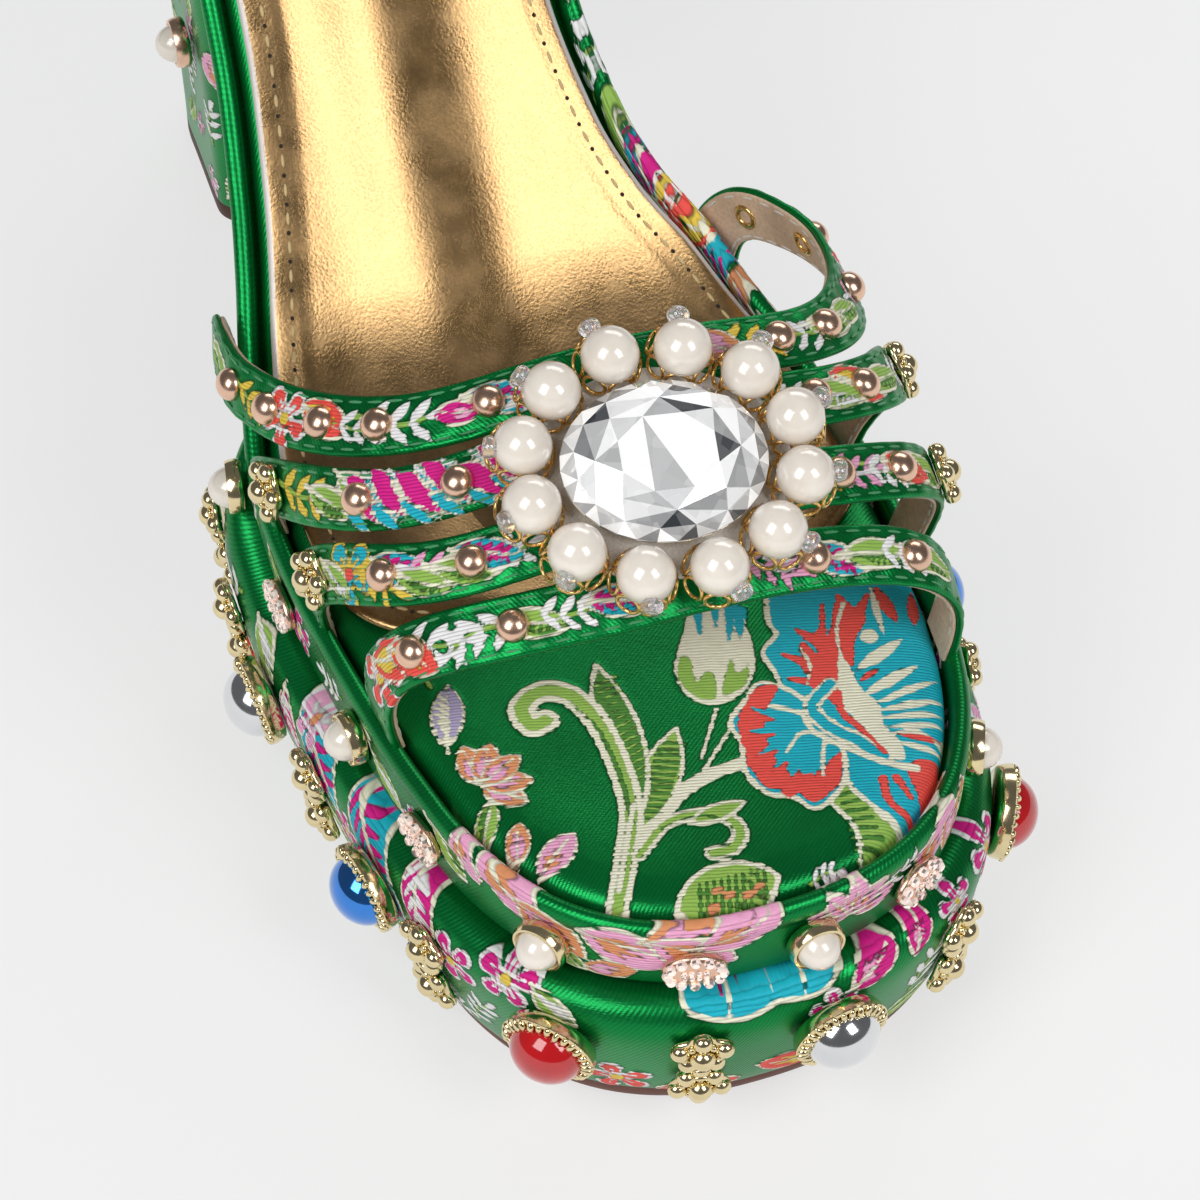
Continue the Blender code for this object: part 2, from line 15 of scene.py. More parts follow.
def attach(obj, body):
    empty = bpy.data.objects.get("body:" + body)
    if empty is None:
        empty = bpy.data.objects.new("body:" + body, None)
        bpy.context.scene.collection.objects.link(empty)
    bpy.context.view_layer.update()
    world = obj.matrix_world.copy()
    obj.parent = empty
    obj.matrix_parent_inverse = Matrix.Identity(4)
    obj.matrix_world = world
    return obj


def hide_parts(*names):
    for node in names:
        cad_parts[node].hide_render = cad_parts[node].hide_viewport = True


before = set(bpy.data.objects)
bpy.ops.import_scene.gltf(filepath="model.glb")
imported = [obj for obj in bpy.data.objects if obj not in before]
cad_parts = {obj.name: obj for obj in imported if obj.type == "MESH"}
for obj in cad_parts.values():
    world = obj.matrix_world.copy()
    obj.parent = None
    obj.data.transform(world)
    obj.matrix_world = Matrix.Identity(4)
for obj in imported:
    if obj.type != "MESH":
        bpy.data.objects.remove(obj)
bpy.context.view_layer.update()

bl_info = {
    "name": "Embellished platform mule",
    "version": (1, 0, 0),
    "blender": (4, 5, 0),
    "location": "View3D > Sidebar > Mule",
    "description": "Builds the looks of a brocade platform sandal round its packed part",
    "category": "Object",
}

MM = 0.001

# Where the shoe lies in its frame (mm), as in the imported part
TOE_Y = -106.804
CENTRE_X = -2.115
GAP = 0.3

# The insole's edge, its top height and the upper tier's depth at each station (mm)
Station = namedtuple("Station", "s left right top depth")
STATIONS = (
    Station(-2, 33.5, 40.0, 42.6, 14.0),
    Station(15, 33.5, 40.0, 41.4, 14.0),
    Station(30, 33.5, 40.8, 41.0, 14.0),
    Station(45, 34.6, 42.0, 41.0, 14.0),
    Station(60, 36.5, 42.2, 41.1, 14.0),
    Station(75, 38.2, 41.0, 41.9, 13.6),
    Station(88, 38.7, 38.4, 45.2, 12.0),
    Station(98, 36.9, 33.8, 50.3, 10.4),
    Station(105, 35.2, 30.2, 55.2, 9.4),
    Station(112, 33.2, 25.0, 61.6, 8.6),
    Station(120, 31.3, 21.2, 69.0, 8.0),
    Station(135, 29.0, 18.2, 84.0, 7.6),
    Station(152, 28.3, 19.0, 100.2, 7.6),
    Station(172, 29.0, 22.0, 115.0, 7.6),
    Station(195, 28.8, 24.2, 124.0, 7.6),
    Station(224, 28.8, 24.2, 128.5, 7.6),
)

# Rounded ends of the outlines: tip position, length of the rounding on each side and its fullness
End = namedtuple("End", "x s left right full_left full_right")
TOE_END = End(2.0, -0.4, 54.0, 42.0, 2.35, 2.4)
HEEL_END = End(-2.0, 224.0, 27.0, 27.0, 2.2, 2.2)
PLATFORM_END = End(0.0, 104.0, 15.0, 15.0, 3.0, 3.0)
SOCK_FRONT = End(3.0, 50.0, 20.0, 20.0, 2.6, 2.6)
WAIST_FRONT = End(-3.0, 117.0, 6.0, 6.0, 3.0, 3.0)
WAIST_BACK = End(-4.0, 163.0, 6.0, 6.0, 3.0, 3.0)
HEEL_BREAST = End(-4.0, 166.0, 9.0, 9.0, 3.4, 3.4)
LEAD_RUN = 36.0

# Lift of the ground side under the toe and behind the ball (mm)
GROUND_S = (-2.0, 10.0, 24.0, 80.0, 90.0, 104.0)
GROUND_Z = (3.0, 1.1, 0.0, 0.0, 1.6, 8.0)
OUTSOLE_THICK = 2.5
TIER_GAP = 0.4
LOWER_RISE = 24.0

# Wall profiles: distance outside the insole's edge and height
Wall = namedtuple("Wall", "out level")
UPPER_TOP = (
    Wall(-8.0, -5.3), Wall(0.2, -5.0), Wall(0.3, -3.2), Wall(0.5, -1.5), Wall(1.1, -0.6), Wall(1.9, -0.4),
    Wall(2.7, -0.8), Wall(3.2, -1.7), Wall(3.3, -2.6), Wall(3.1, -3.5), Wall(2.6, -4.5),
)
UPPER_FOOT = (Wall(2.6, 1.6), Wall(2.0, 0.6), Wall(1.2, 0.0))
LOWER = (
    Wall(-6.0, 1.0), Wall(2.4, 1.0), Wall(4.5, 0.985), Wall(6.3, 0.93), Wall(7.3, 0.82),
    Wall(7.2, 0.68), Wall(6.3, 0.45), Wall(5.0, 0.20), Wall(3.8, 0.03), Wall(3.0, 0.0),
)
FOOTBED = (Wall(-0.3, -4.2), Wall(-0.3, -2.4), Wall(-0.9, -0.9), Wall(-2.4, -0.15), Wall(-6.0, 0.2))
SOCK = (Wall(-6.0, 0.95), Wall(-1.6, 0.4), Wall(-1.5, 1.1), Wall(-2.4, 1.7), Wall(-6.0, 2.1))
OUTSOLE = (Wall(2.4, 0.0), Wall(2.8, 0.4), Wall(2.8, 1.0))
WAIST = (Wall(0.0, 0.0), Wall(0.0, 1.6))

# Heel block
HEEL_SEAT_OUT = 1.4
HEEL_FOOT_WIDTH = 0.77
HEEL_FOOT_DEPTH = 0.69
HEEL_TOP_MID = (-2.5, 195.5)
HEEL_FOOT_MID = (-1.5, 202.0)
HEEL_WAIST_POWER = 1.5
TOP_PIECE_THICK = 3.0
HEEL_STUD = (189.0, 36.0)
HEEL_STUD_STAND = 0.8

# The last over the straps, and the straps from the instep to the toe
CROWN_S = (20.0, 45.0, 65.0, 85.0, 105.0)
CROWN_Z = (16.5, 31.2, 39.0, 42.0, 46.0)
CROWN_X = 2.0
LAST_FULLNESS = 2.22
Strap = namedtuple("Strap", "name left crown right lean_left lean_right bulge_left bulge_right out foot")
STRAPS = (
    Strap("instep", 106.5, 62.0, 107.5, 3.7, 4.4, 4.2, 5.4, 3.8, -8.6),
    Strap("second", 84.6, 53.6, 75.0, 4.4, 4.1, 6.8, 7.6, -0.2, -2.6),
    Strap("third", 67.0, 43.6, 53.6, 4.1, 4.0, 5.8, 7.4, -0.2, -3.6),
    Strap("toe", 44.4, 34.2, 35.2, 2.3, 2.3, 4.6, 4.4, -0.45, -1.6),
)

# Brooch on the straps' crown
BROOCH_MID = (4.2, 46.4, 75.8)
BROOCH_PITCH = radians(24.5)
BROOCH_TURN = radians(-8.0)
PLATE_HALF = (18.0, 14.6)
PLATE_THICK = 2.6
TRAY_HALF = (12.6, 10.0)
TRAY_HIGH = 2.6
STONE_HALF = (13.9, 11.1)
STONE_HIGH = 4.8
PEARL_RING_HALF = (18.9, 15.7)
PEARL_COUNT = 12
DRILL_AT = 0.99
DRILL_RIM = 0.12
DRILL_DEEP = 0.8

# Trim round the platform: fraction of the way round the insole's edge from the back of the heel
Trim = namedtuple("Trim", "name round")
CABOCHONS = (
    Trim("silver_left", 0.318), Trim("blue_left", 0.385), Trim("red_front", 0.447),
    Trim("silver_front", 0.508), Trim("red_right", 0.580), Trim("blue_right", 0.651),
)
FLOWER_PAIRS = (
    Trim("rear", 0.272), Trim("left_c", 0.292), Trim("left_b", 0.349), Trim("left_a", 0.410),
    Trim("front", 0.477), Trim("right_a", 0.543), Trim("right_b", 0.622),
)
PEARL_STUDS = (
    Trim("rear", 0.282), Trim("left", 0.361), Trim("front_left", 0.441),
    Trim("front_right", 0.505), Trim("right", 0.578),
)
RONDELLES = (Trim("left_b", 0.314), Trim("left_a", 0.398), Trim("front", 0.476), Trim("right", 0.535))
CABOCHON_LEVEL = 0.62
PAIR_LEVEL = 0.50
LOWER_TRIM_TILT = radians(-9.0)
UPPER_TRIM_DROP = 0.58
UPPER_TRIM_OUT = 3.0
UPPER_TRIM_EASE = 0.36
FLOWER_PITCH = 8.4
FLOWER_SIZE = 1.14
StrapFlower = namedtuple("StrapFlower", "name strap angle")
STRAP_FLOWERS = (
    StrapFlower("second_left", 1, 24.0), StrapFlower("second_right", 1, 152.0),
    StrapFlower("third_left", 2, 22.0), StrapFlower("third_right", 2, 152.0),
)

# Rivets: strap number, and angles up from its left foot in degrees
Rivets = namedtuple("Rivets", "strap angles")
RIVETS = (
    Rivets(0, (28.0, 36.5, 46.5, 56.0, 73.5, 114.5, 125.0, 142.0, 156.0, 168.0)),
    Rivets(1, (46.0, 64.5, 117.5, 129.0)),
    Rivets(2, (42.5, 61.0, 117.5, 132.0)),
    Rivets(3, (38.5, 62.5, 112.0, 136.0)),
)

# Pillowed edge of the footbed, and its yarns' direction
FOOTBED_HALF = 33.0
PILLOW_DROP = 0.8
PILLOW_RUN = 11.0
FOOTBED_YARN_TURN = radians(-15.0)

# Sock: its swells, its stitched edge and where its raw edge shows
SockSwell = namedtuple("SockSwell", "height shift pitch skew bend")
SOCK_SWELLS = (SockSwell(-0.85, 10.0, 5.2, 0.012, 1.0), SockSwell(0.24, -3.0, 2.9, -0.03, -1.0))
SOCK_BEND = 0.55
SOCK_STEP = 0.7
SOCK_WAVE_END = 212.0
SOCK_WAVE_FADE = 30.0
SOCK_RIM = 2.4
SOCK_RIM_FADE = 5.0
SOCK_RAW_FROM = 84.0
SOCK_RAW_FADE = 8.0
SOCK_RAW_WIDE = 2.5
SOCK_RAW_BLUR = 0.35
SOCK_STITCH_IN = 4.7
SOCK_STITCH_PITCH = 3.0
SOCK_STITCH_RISE = 1.95
# Sizes of a dot of painted shade at a needle hole and of a stitch of thread.
SOCK_HOLE_SHADE = (0.36, 0.32, 0.14)
SOCK_THREAD = (0.95, 0.26, 0.20)

# Heel and strap workmanship, and how far along the shoe the covers' mesh is fine
HEEL_HIGH = 116.0
HEEL_STEP = 0.7
TipRow = namedtuple("TipRow", "inset z")
HEEL_TIP = (TipRow(0.995, 3.0), TipRow(1.0, 2.7), TipRow(1.0, 0.5), TipRow(0.985, 0.0))
UPPER_FINE_TO = 112.0
FOOTBED_FINE_TO = 72.0
STRAP_SEAM_IN = 0.95
STRAP_SEAM_DEEP = 0.13
STRAP_SEAM_HALF = 0.32
STRAP_CROWN = 0.12
LINING_IN = 0.35
STITCH_SPACING = 1.32
STITCH_SINK = 0.02
FACE_STITCH = (0.20, 0.16)
LINING_STITCH = (0.20, 0.14)

# Cut stone: rings of corners, each with its count, twist, distance from the middle and level
StoneRing = namedtuple("StoneRing", "count twist radius level")
STONE_RINGS = (
    StoneRing(8, 0.5, 0.50, 0.975), StoneRing(8, 0.0, 0.70, 0.84), StoneRing(16, 0.5, 0.885, 0.57),
    StoneRing(32, 0.0, 1.0, 0.20), StoneRing(32, 0.0, 1.0, 0.10), StoneRing(16, 0.0, 0.85, 0.0),
)
# Painted reflections of the stone: tones for its facets, how far apart neighbours' tones must be, and the
# radius of its brightly painted heart.
STONE_REFLECTION_TONES = (0.04, 0.18, 0.32, 0.46, 0.60, 0.74, 0.88, 1.0)
STONE_STEP = 0.2
STONE_HEART = 0.45
SEED_RING_HALF = (23.2, 20.0)
SEED_HIGH = 4.7
SEED_TURN = 0.05

# Turned trim: radius, distance out of its base and depth of the lobes. An oval's radius is a share
# of its half.
Turn = namedtuple("Turn", "r d wave", defaults=(0.0,))
SETTING = (
    Turn(0, 0.3), Turn(5.9, 0.3), Turn(6.3, 0.5), Turn(6.6, 1.2), Turn(6.8, 2.0), Turn(6.85, 2.5),
    Turn(6.6, 2.75), Turn(6.1, 2.75), Turn(5.6, 2.5), Turn(5.5, 1.8), Turn(0, 1.7),
)
CLAWS = 30
CLAW_AT = (5.95, 2.85)
DOME_RADIUS = 5.3
DOME_HIGH = 4.6
BEZEL = (
    Turn(0, 0.0), Turn(3.7, 0.0), Turn(3.95, 0.2), Turn(4.05, 0.8), Turn(3.95, 1.8), Turn(3.75, 2.3),
    Turn(3.4, 2.35), Turn(3.1, 2.0), Turn(3.0, 1.2), Turn(0, 1.0),
)
HALF_PEARL = 3.1
RONDELLE_HALF = (4.4, 3.0)
RONDELLE = (
    Turn(0, 0.0), Turn(0.95, 0.0), Turn(1.0, 0.4), Turn(1.0, 0.9), Turn(0.9, 1.3), Turn(0.6, 1.6),
    Turn(0, 1.7),
)
RONDELLE_CHIPS = 12
# Painted reflection tones of the chips' facets.
CHIP_REFLECTION_TONES = (0.2, 0.7, 0.95, 1.0)
RIVET_BACK = (
    Turn(1.05, 0.0), Turn(1.9, 0.0), Turn(2.0, 0.25), Turn(1.5, 0.45), Turn(1.05, 0.2), Turn(1.05, 0.0),
)
FELT = (
    Turn(0, -PLATE_THICK), Turn(0.9, -PLATE_THICK), Turn(0.99, -2.1), Turn(1.01, -1.2),
    Turn(0.99, -0.4), Turn(0.94, 0.0), Turn(0.5, 0.05), Turn(0, 0.05),
)
TRAY = (
    Turn(0, GAP), Turn(0.85, GAP), Turn(0.9, 0.6), Turn(1.06, 2.4), Turn(1.1, 3.4),
    Turn(1.06, 3.5), Turn(1.0, 2.6), Turn(0, 2.6),
)
FLOWER_PLATE = (
    Turn(0, 0.1), Turn(3.1, 0.1, 0.13), Turn(3.5, 0.5, 0.13), Turn(3.2, 1.0, 0.13), Turn(0, 1.2),
)
WIRE_LOOPS = 7
WIRE_LOOP = (1.45, 0.27)

# Lights: turn from the toe, height angle, distance and size in metres, power in watts
Softbox = namedtuple("Softbox", "name azimuth elevation distance size power")
SOFTBOXES = (
    Softbox("softbox_left", -60.0, 46.0, 1.2, (0.60, 0.80), 7.6),
    Softbox("softbox_right", 30.0, 43.0, 1.2, (0.42, 0.65), 5.2),
    Softbox("softbox_back", 150.0, 34.0, 1.3, (1.0, 0.4), 4.0),
)

# Floor, in metres, and camera
FLOOR_GLOW = 0.63
FLOOR_SIZE = 6.0
FLOOR_DROP = 0.0004
SENSOR_MM = 36.0

# Yarns of the brocade, in the order that they are laid over the green ground
YARNS = ("leaf", "fern", "teal", "lavender", "coral", "orange", "pink", "magenta", "yellow", "cream", "white")
# Pale yarns get a lighter painted shade at their edges.
PALE_YARNS = ("cream", "white")
FAR = 3.0
THREAD_PITCH = 0.50


# Settings that a user would change

def length_property(name, description, value):
    return FloatProperty(name=name, description=description, default=value, unit="LENGTH")


def angle_property(name, description, value):
    return FloatProperty(name=name, description=description, default=value, subtype="ANGLE")


def colour_property(name, description, value):
    return FloatVectorProperty(name=name, description=description, default=value, subtype="COLOR",
                               min=0, max=1)


class MuleSizes(bpy.types.PropertyGroup):
    """Sizes of the pieces that only the looks have."""

    strap_width: length_property("Strap width", "Width of a strap", 0.0084)
    strap_thick: length_property("Strap thickness", "Strap with its lining", 0.0017)
    lining_thick: length_property("Lining", "Thickness of the straps' lining", 0.0006)
    weave_step: length_property("Weave step", "Mesh spacing on the brocade", 0.00045)
    relief: length_property("Relief", "How far the woven motifs stand proud", 0.00014)
    rivet: length_property("Rivet", "Diameter of a strap rivet", 0.0047)
    pearl: length_property("Pearl", "Diameter of a brooch pearl", 0.0079)
    seed: length_property("Seed bead", "Diameter of a seed bead", 0.0031)
    stitch: length_property("Stitch", "Length of one stitch", 0.0024)


class MuleColours(bpy.types.PropertyGroup):
    """Colours of the yarns, leathers, metals and stones."""

    ground: colour_property("Ground", "Green satin ground", (0.003, 0.235, 0.050))
    cream: colour_property("Cream", "Outline yarn", (0.93, 0.90, 0.70))
    white: colour_property("White", "White yarn", (0.95, 0.95, 0.94))
    teal: colour_property("Teal", "Teal yarn", (0.010, 0.47, 0.60))
    coral: colour_property("Coral", "Coral yarn", (0.92, 0.095, 0.075))
    leaf: colour_property("Leaf", "Light green yarn", (0.32, 0.55, 0.10))
    fern: colour_property("Fern", "Mid green yarn", (0.08, 0.27, 0.04))
    pink: colour_property("Pink", "Pink yarn", (0.92, 0.42, 0.64))
    magenta: colour_property("Magenta", "Magenta yarn", (0.74, 0.012, 0.27))
    orange: colour_property("Orange", "Copper orange yarn", (0.78, 0.32, 0.14))
    lavender: colour_property("Lavender", "Lavender yarn", (0.45, 0.40, 0.62))
    yellow: colour_property("Yellow", "Yellow yarn", (0.85, 0.62, 0.08))
    sock: colour_property("Sock", "Gold leather", (0.49, 0.31, 0.14))
    lining: colour_property("Lining", "Straps' lining leather", (0.74, 0.54, 0.38))
    felt: colour_property("Felt", "Brooch base", (0.84, 0.80, 0.76))
    pale_gold: colour_property("Pale gold", "Cast trim", (0.86, 0.72, 0.42))
    rose_gold: colour_property("Rose gold", "Rivets and rondelles", (0.88, 0.58, 0.42))
    wire: colour_property("Wire", "Gilt wire round the pearls", (0.92, 0.60, 0.22))
    pearl: colour_property("Pearl", "Pearl lustre", (0.97, 0.90, 0.80))
    red: colour_property("Red", "Red domes", (0.60, 0.004, 0.008))
    blue: colour_property("Blue", "Blue domes", (0.02, 0.24, 0.80))
    silver: colour_property("Silver", "Mirror domes", (0.76, 0.77, 0.79))
    sole: colour_property("Sole", "Outsole rubber", (0.16, 0.055, 0.035))


class MuleStage(bpy.types.PropertyGroup):
    """Camera, light and floor."""

    azimuth: angle_property("Azimuth", "Camera's turn from the toe", radians(-18.5))
    elevation: angle_property("Elevation", "Camera's height angle", radians(50.0))
    distance: length_property("Distance", "Camera to target", 0.600)
    lens: FloatProperty(name="Lens", description="Focal length in mm on a 36 mm sensor", default=129.6)
    target_x: length_property("Target x", "Where the camera looks", -0.002915)
    target_y: length_property("Target y", "Where the camera looks", -0.050504)
    target_z: length_property("Target z", "Where the camera looks", 0.040)
    floor: colour_property("Floor", "Pale floor", (0.30, 0.30, 0.30))
    room: colour_property("Room", "Light of the room round the softboxes", (0.13, 0.13, 0.135))


# Curves and outlines of the shoe, in millimetres

def smooth(xs, ys, x):
    """A monotone cubic curve through a table."""
    xs, ys, x = (np.asarray(v, float) for v in (xs, ys, x))
    step = np.diff(xs)
    slope = np.diff(ys) / step
    tangent = np.zeros(len(xs))
    tangent[0], tangent[-1] = slope[0], slope[-1]
    for i in range(1, len(xs) - 1):
        if slope[i - 1] * slope[i] > 0:
            a = 2 * step[i] + step[i - 1]
            b = step[i] + 2 * step[i - 1]
            tangent[i] = (a + b) / (a / slope[i - 1] + b / slope[i])
    x = np.clip(x, xs[0], xs[-1])
    i = np.clip(np.searchsorted(xs, x, side="right") - 1, 0, len(step) - 1)
    t = (x - xs[i]) / step[i]
    ends = (2 * t**3 - 3 * t**2 + 1) * ys[i] + (3 * t**2 - 2 * t**3) * ys[i + 1]
    return ends + step[i] * ((t**3 - 2 * t**2 + t) * tangent[i] + (t**3 - t**2) * tangent[i + 1])


def column(name, s):
    """A column of the station table, read at any station."""
    return smooth([row.s for row in STATIONS], [getattr(row, name) for row in STATIONS], s)


def insole_top(s):
    return column("top", s)


def upper_bottom(s):
    return column("top", s) - column("depth", s)


def ground(s):
    return smooth(GROUND_S, GROUND_Z, s)


def rounding(distance, length, full):
    t = np.clip(distance / length, 0, 1)
    return (1 - (1 - t) ** full) ** (1 / full)


def edge(s, sign, front, back):
    """The insole's edge on one side, rounded off at the front and back ends."""
    name = "left" if sign < 0 else "right"
    x = sign * column(name, s)
    x = front.x + (x - front.x) * rounding(s - front.s, getattr(front, name), getattr(front, "full_" + name))
    return back.x + (x - back.x) * rounding(back.s - s, getattr(back, name), getattr(back, "full_" + name))


def stations(front, back, fine, coarse, fine_to):
    """Stations along an outline: close together at its rounded ends and fine up to fine_to."""
    whole = back.s - front.s
    lead = min(LEAD_RUN, 0.45 * whole)
    tail = min(1.2 * max(back.left, 6.0), 0.45 * whole)
    near, rear = front.s + lead, back.s - tail
    middle = min(max(fine_to, near), rear)
    last = fine if fine_to >= back.s else coarse
    opening = np.linspace(0, 1, int(2 * lead / fine) + 2) ** 2
    closing = np.linspace(1, 0, int(2 * tail / last) + 2) ** 2
    parts = [front.s + lead * opening]
    parts.append(np.linspace(near, middle, int((middle - near) / fine) + 2)[1:])
    parts.append(np.linspace(middle, rear, int((rear - middle) / coarse) + 2)[1:])
    parts.append(back.s - tail * closing[1:])
    s = np.concatenate(parts)
    return s[np.concatenate([[True], np.diff(s) > 1e-6])]


def ring(front, back, s):
    """A closed ring of (x, s): back end, up the left side to the front end, and back on the right."""
    left = np.stack([edge(s, -1, front, back), s], 1)[::-1]
    right = np.stack([edge(s, 1, front, back), s], 1)[1:]
    return np.concatenate([left, right])


def outward(loop):
    """Unit directions out of a ring whose last point repeats its first."""
    run = np.roll(loop[:-1], -1, axis=0) - np.roll(loop[:-1], 1, axis=0)
    run = run / np.linalg.norm(run, axis=1)[:, None]
    way = np.stack([run[:, 1], -run[:, 0]], 1)
    return np.concatenate([way, way[:1]])


def run_along(line):
    """Length along a line up to each of its points."""
    return np.concatenate([[0], np.cumsum(np.linalg.norm(np.diff(line, axis=0), axis=1))])


def arc_from_front(loop):
    """Length along a ring from its front tip: negative on the left side, positive on the right."""
    run = run_along(loop)
    return run - run[int(np.argmin(loop[:, 1]))]


def rounded(profile, step, scale=1.0):
    """A wall profile with its corners eased, as points a step apart; scale turns its levels into mm."""
    line = np.array([(row.out, row.level * scale) for row in profile], float)
    for _ in range(3):
        cut = np.empty((2 * len(line), 2))
        cut[0], cut[-1] = line[0], line[-1]
        cut[1:-1:2] = 0.75 * line[:-1] + 0.25 * line[1:]
        cut[2:-1:2] = 0.25 * line[:-1] + 0.75 * line[1:]
        line = cut
    run = run_along(line)
    at = np.linspace(0, run[-1], max(3, int(run[-1] / step) + 1))
    outs, levels = (np.interp(at, run, line[:, i]) for i in (0, 1))
    return [Wall(o, v / scale) for o, v in zip(outs, levels)]


Skin = namedtuple("Skin", "points arc inside")


def skin(front, back, s, profile, height, first=0, last=0):
    """A profile carried round an outline; first and last draw its ends in to the shoe's middle line."""
    base = ring(front, back, s)
    out = outward(base)
    lead = min(LEAD_RUN, 0.3 * (back.s - front.s))
    inner = np.clip(base[:, 1], front.s + lead, back.s - 0.6 * lead)
    middle = 0.5 * (edge(inner, -1, front, back) + edge(inner, 1, front, back))
    spine = np.stack([middle, inner], 1)
    layers = [(base + out * row.out, row) for row in profile]
    opening = [(layers[0][0] + (spine - layers[0][0]) * t, layers[0][1])
               for t in np.linspace(1, 0, first + 1)[:-1]] if first else []
    closing = [(layers[-1][0] + (spine - layers[-1][0]) * t, layers[-1][1])
               for t in np.linspace(0, 1, last + 1)[1:]] if last else []
    rows, inside = [], []
    for at, row in opening + layers + closing:
        rows.append(np.stack([at[:, 0], at[:, 1], height(row, at[:, 1])], -1))
        inside.append(np.linalg.norm(at - base, axis=1))
    points = np.array(rows)
    return Skin(points, np.broadcast_to(arc_from_front(base), points.shape[:2]), np.array(inside))


UpperRow = namedtuple("UpperRow", "out top foot share")


def upper_rows(step):
    """Rows of the upper tier: well and bead hang from its top, the wall's foot stands on its bottom."""
    rows = [UpperRow(row.out, row.level, 0.0, 0.0) for row in rounded(UPPER_TOP, step)]
    for share in np.linspace(0, 1, int(9.0 / step))[1:-1]:
        out = UPPER_FOOT[0].out + 0.25 * sin(pi * share)
        rows.append(UpperRow(out, UPPER_TOP[-1].level, UPPER_FOOT[0].level, share))
    rows += [UpperRow(row.out, 0.0, row.level, 1.0) for row in rounded(UPPER_FOOT, step)]
    return rows


def upper_level(row, s):
    high = insole_top(s) + row.top
    return high + (upper_bottom(s) + row.foot - high) * row.share


def lower_level(row, s):
    low = ground(s) + OUTSOLE_THICK + GAP
    return low + (upper_bottom(s) - TIER_GAP - low) * row.level


def top_level(row, s):
    return insole_top(s) + row.level


def outsole_level(row, s):
    return ground(s) + OUTSOLE_THICK * row.level


def waist_level(row, s):
    return upper_bottom(s) - GAP - row.level


def unit(vectors):
    return vectors / np.linalg.norm(vectors, axis=-1, keepdims=True)


def facing_out(points):
    """Unit normals out of a grid of rings, none at its poles."""
    normal = np.cross(np.gradient(points, axis=0), np.gradient(points, axis=1))
    normal = normal / np.maximum(np.linalg.norm(normal, axis=-1, keepdims=True), 1e-9)
    normal[:, -1] = normal[:, 0]
    normal[0] = normal[-1] = 0.0
    return normal


# Pieces from primitives

def deselect():
    if bpy.context.mode != "OBJECT":
        bpy.ops.object.mode_set(mode="OBJECT")
    bpy.ops.object.select_all(action="DESELECT")


def pick(piece):
    deselect()
    piece.select_set(True)
    bpy.context.view_layer.objects.active = piece
    return piece


def weld(piece, distance=1e-6):
    """Closes the seams and poles of a piece and turns its faces outwards."""
    pick(piece)
    bpy.ops.object.mode_set(mode="EDIT")
    bpy.ops.mesh.select_all(action="SELECT")
    bpy.ops.mesh.remove_doubles(threshold=distance)
    bpy.ops.mesh.normals_make_consistent(inside=False)
    bpy.ops.object.mode_set(mode="OBJECT")
    return piece


def laid_grid(name, points, values=None):
    """A grid primitive laid onto rows of points in mm, with its values kept as point attributes."""
    rows, columns = points.shape[:2]
    deselect()
    bpy.ops.mesh.primitive_grid_add(x_subdivisions=columns - 1, y_subdivisions=rows - 1, size=1)
    piece = bpy.context.object
    piece.name = name
    piece.data.name = name
    placed = (points + np.array([CENTRE_X, TOE_Y, 0.0])) * MM
    piece.data.vertices.foreach_set("co", placed.astype(np.float32).reshape(-1))
    for key, value in (values or {}).items():
        kind, field = ("FLOAT_VECTOR", "vector") if value.ndim == 3 else ("FLOAT", "value")
        kept = piece.data.attributes.new(key, kind, "POINT")
        kept.data.foreach_set(field, value.astype(np.float32).reshape(-1))
    piece.data.update()
    return weld(piece)


def smooth_shade(piece, angle=None):
    pick(piece)
    if angle is None:
        bpy.ops.object.shade_smooth()
    else:
        bpy.ops.object.shade_smooth_by_angle(angle=angle)
    return piece


def dress(piece, material, slot, *nodes):
    """Gives a piece its material and lets it stand for the nodes it replaces; its slot is not used."""
    piece.data.materials.clear()
    piece.data.materials.append(material)
    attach(piece, "root")
    if nodes:
        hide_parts(*nodes)
    return piece


def turned(name, profile, steps, half=(1.0, 1.0), lobes=0):
    """A profile spun about +Z at the origin; half draws it out to an oval and lobes wave its edge."""
    turn = np.linspace(0, 2 * pi, steps + 1)
    rows = []
    for row in profile:
        r = row.r * (1 + row.wave * np.cos(lobes * turn))
        high = np.full_like(turn, row.d)
        rows.append(np.stack([half[0] * r * np.cos(turn), half[1] * r * np.sin(turn), high], -1))
    return laid_grid(name, np.array(rows) - np.array([CENTRE_X, TOE_Y, 0.0]))


def join(name, pieces):
    """Several pieces as one."""
    deselect()
    for piece in pieces:
        piece.select_set(True)
    bpy.context.view_layer.objects.active = pieces[0]
    if len(pieces) > 1:
        bpy.ops.object.join()
    pieces[0].name = name
    pieces[0].data.name = name
    return pieces[0]


def settle(piece):
    """Puts a piece's place into its mesh."""
    pick(piece)
    bpy.ops.object.transform_apply(location=True, rotation=True, scale=True)
    return piece


def copy_at(source, name, place):
    """A copy of a modelled piece, with its own mesh, set at a place."""
    mesh = source.data.copy()
    mesh.name = name
    mesh.transform(place)
    piece = bpy.data.objects.new(name, mesh)
    bpy.context.scene.collection.objects.link(piece)
    return piece


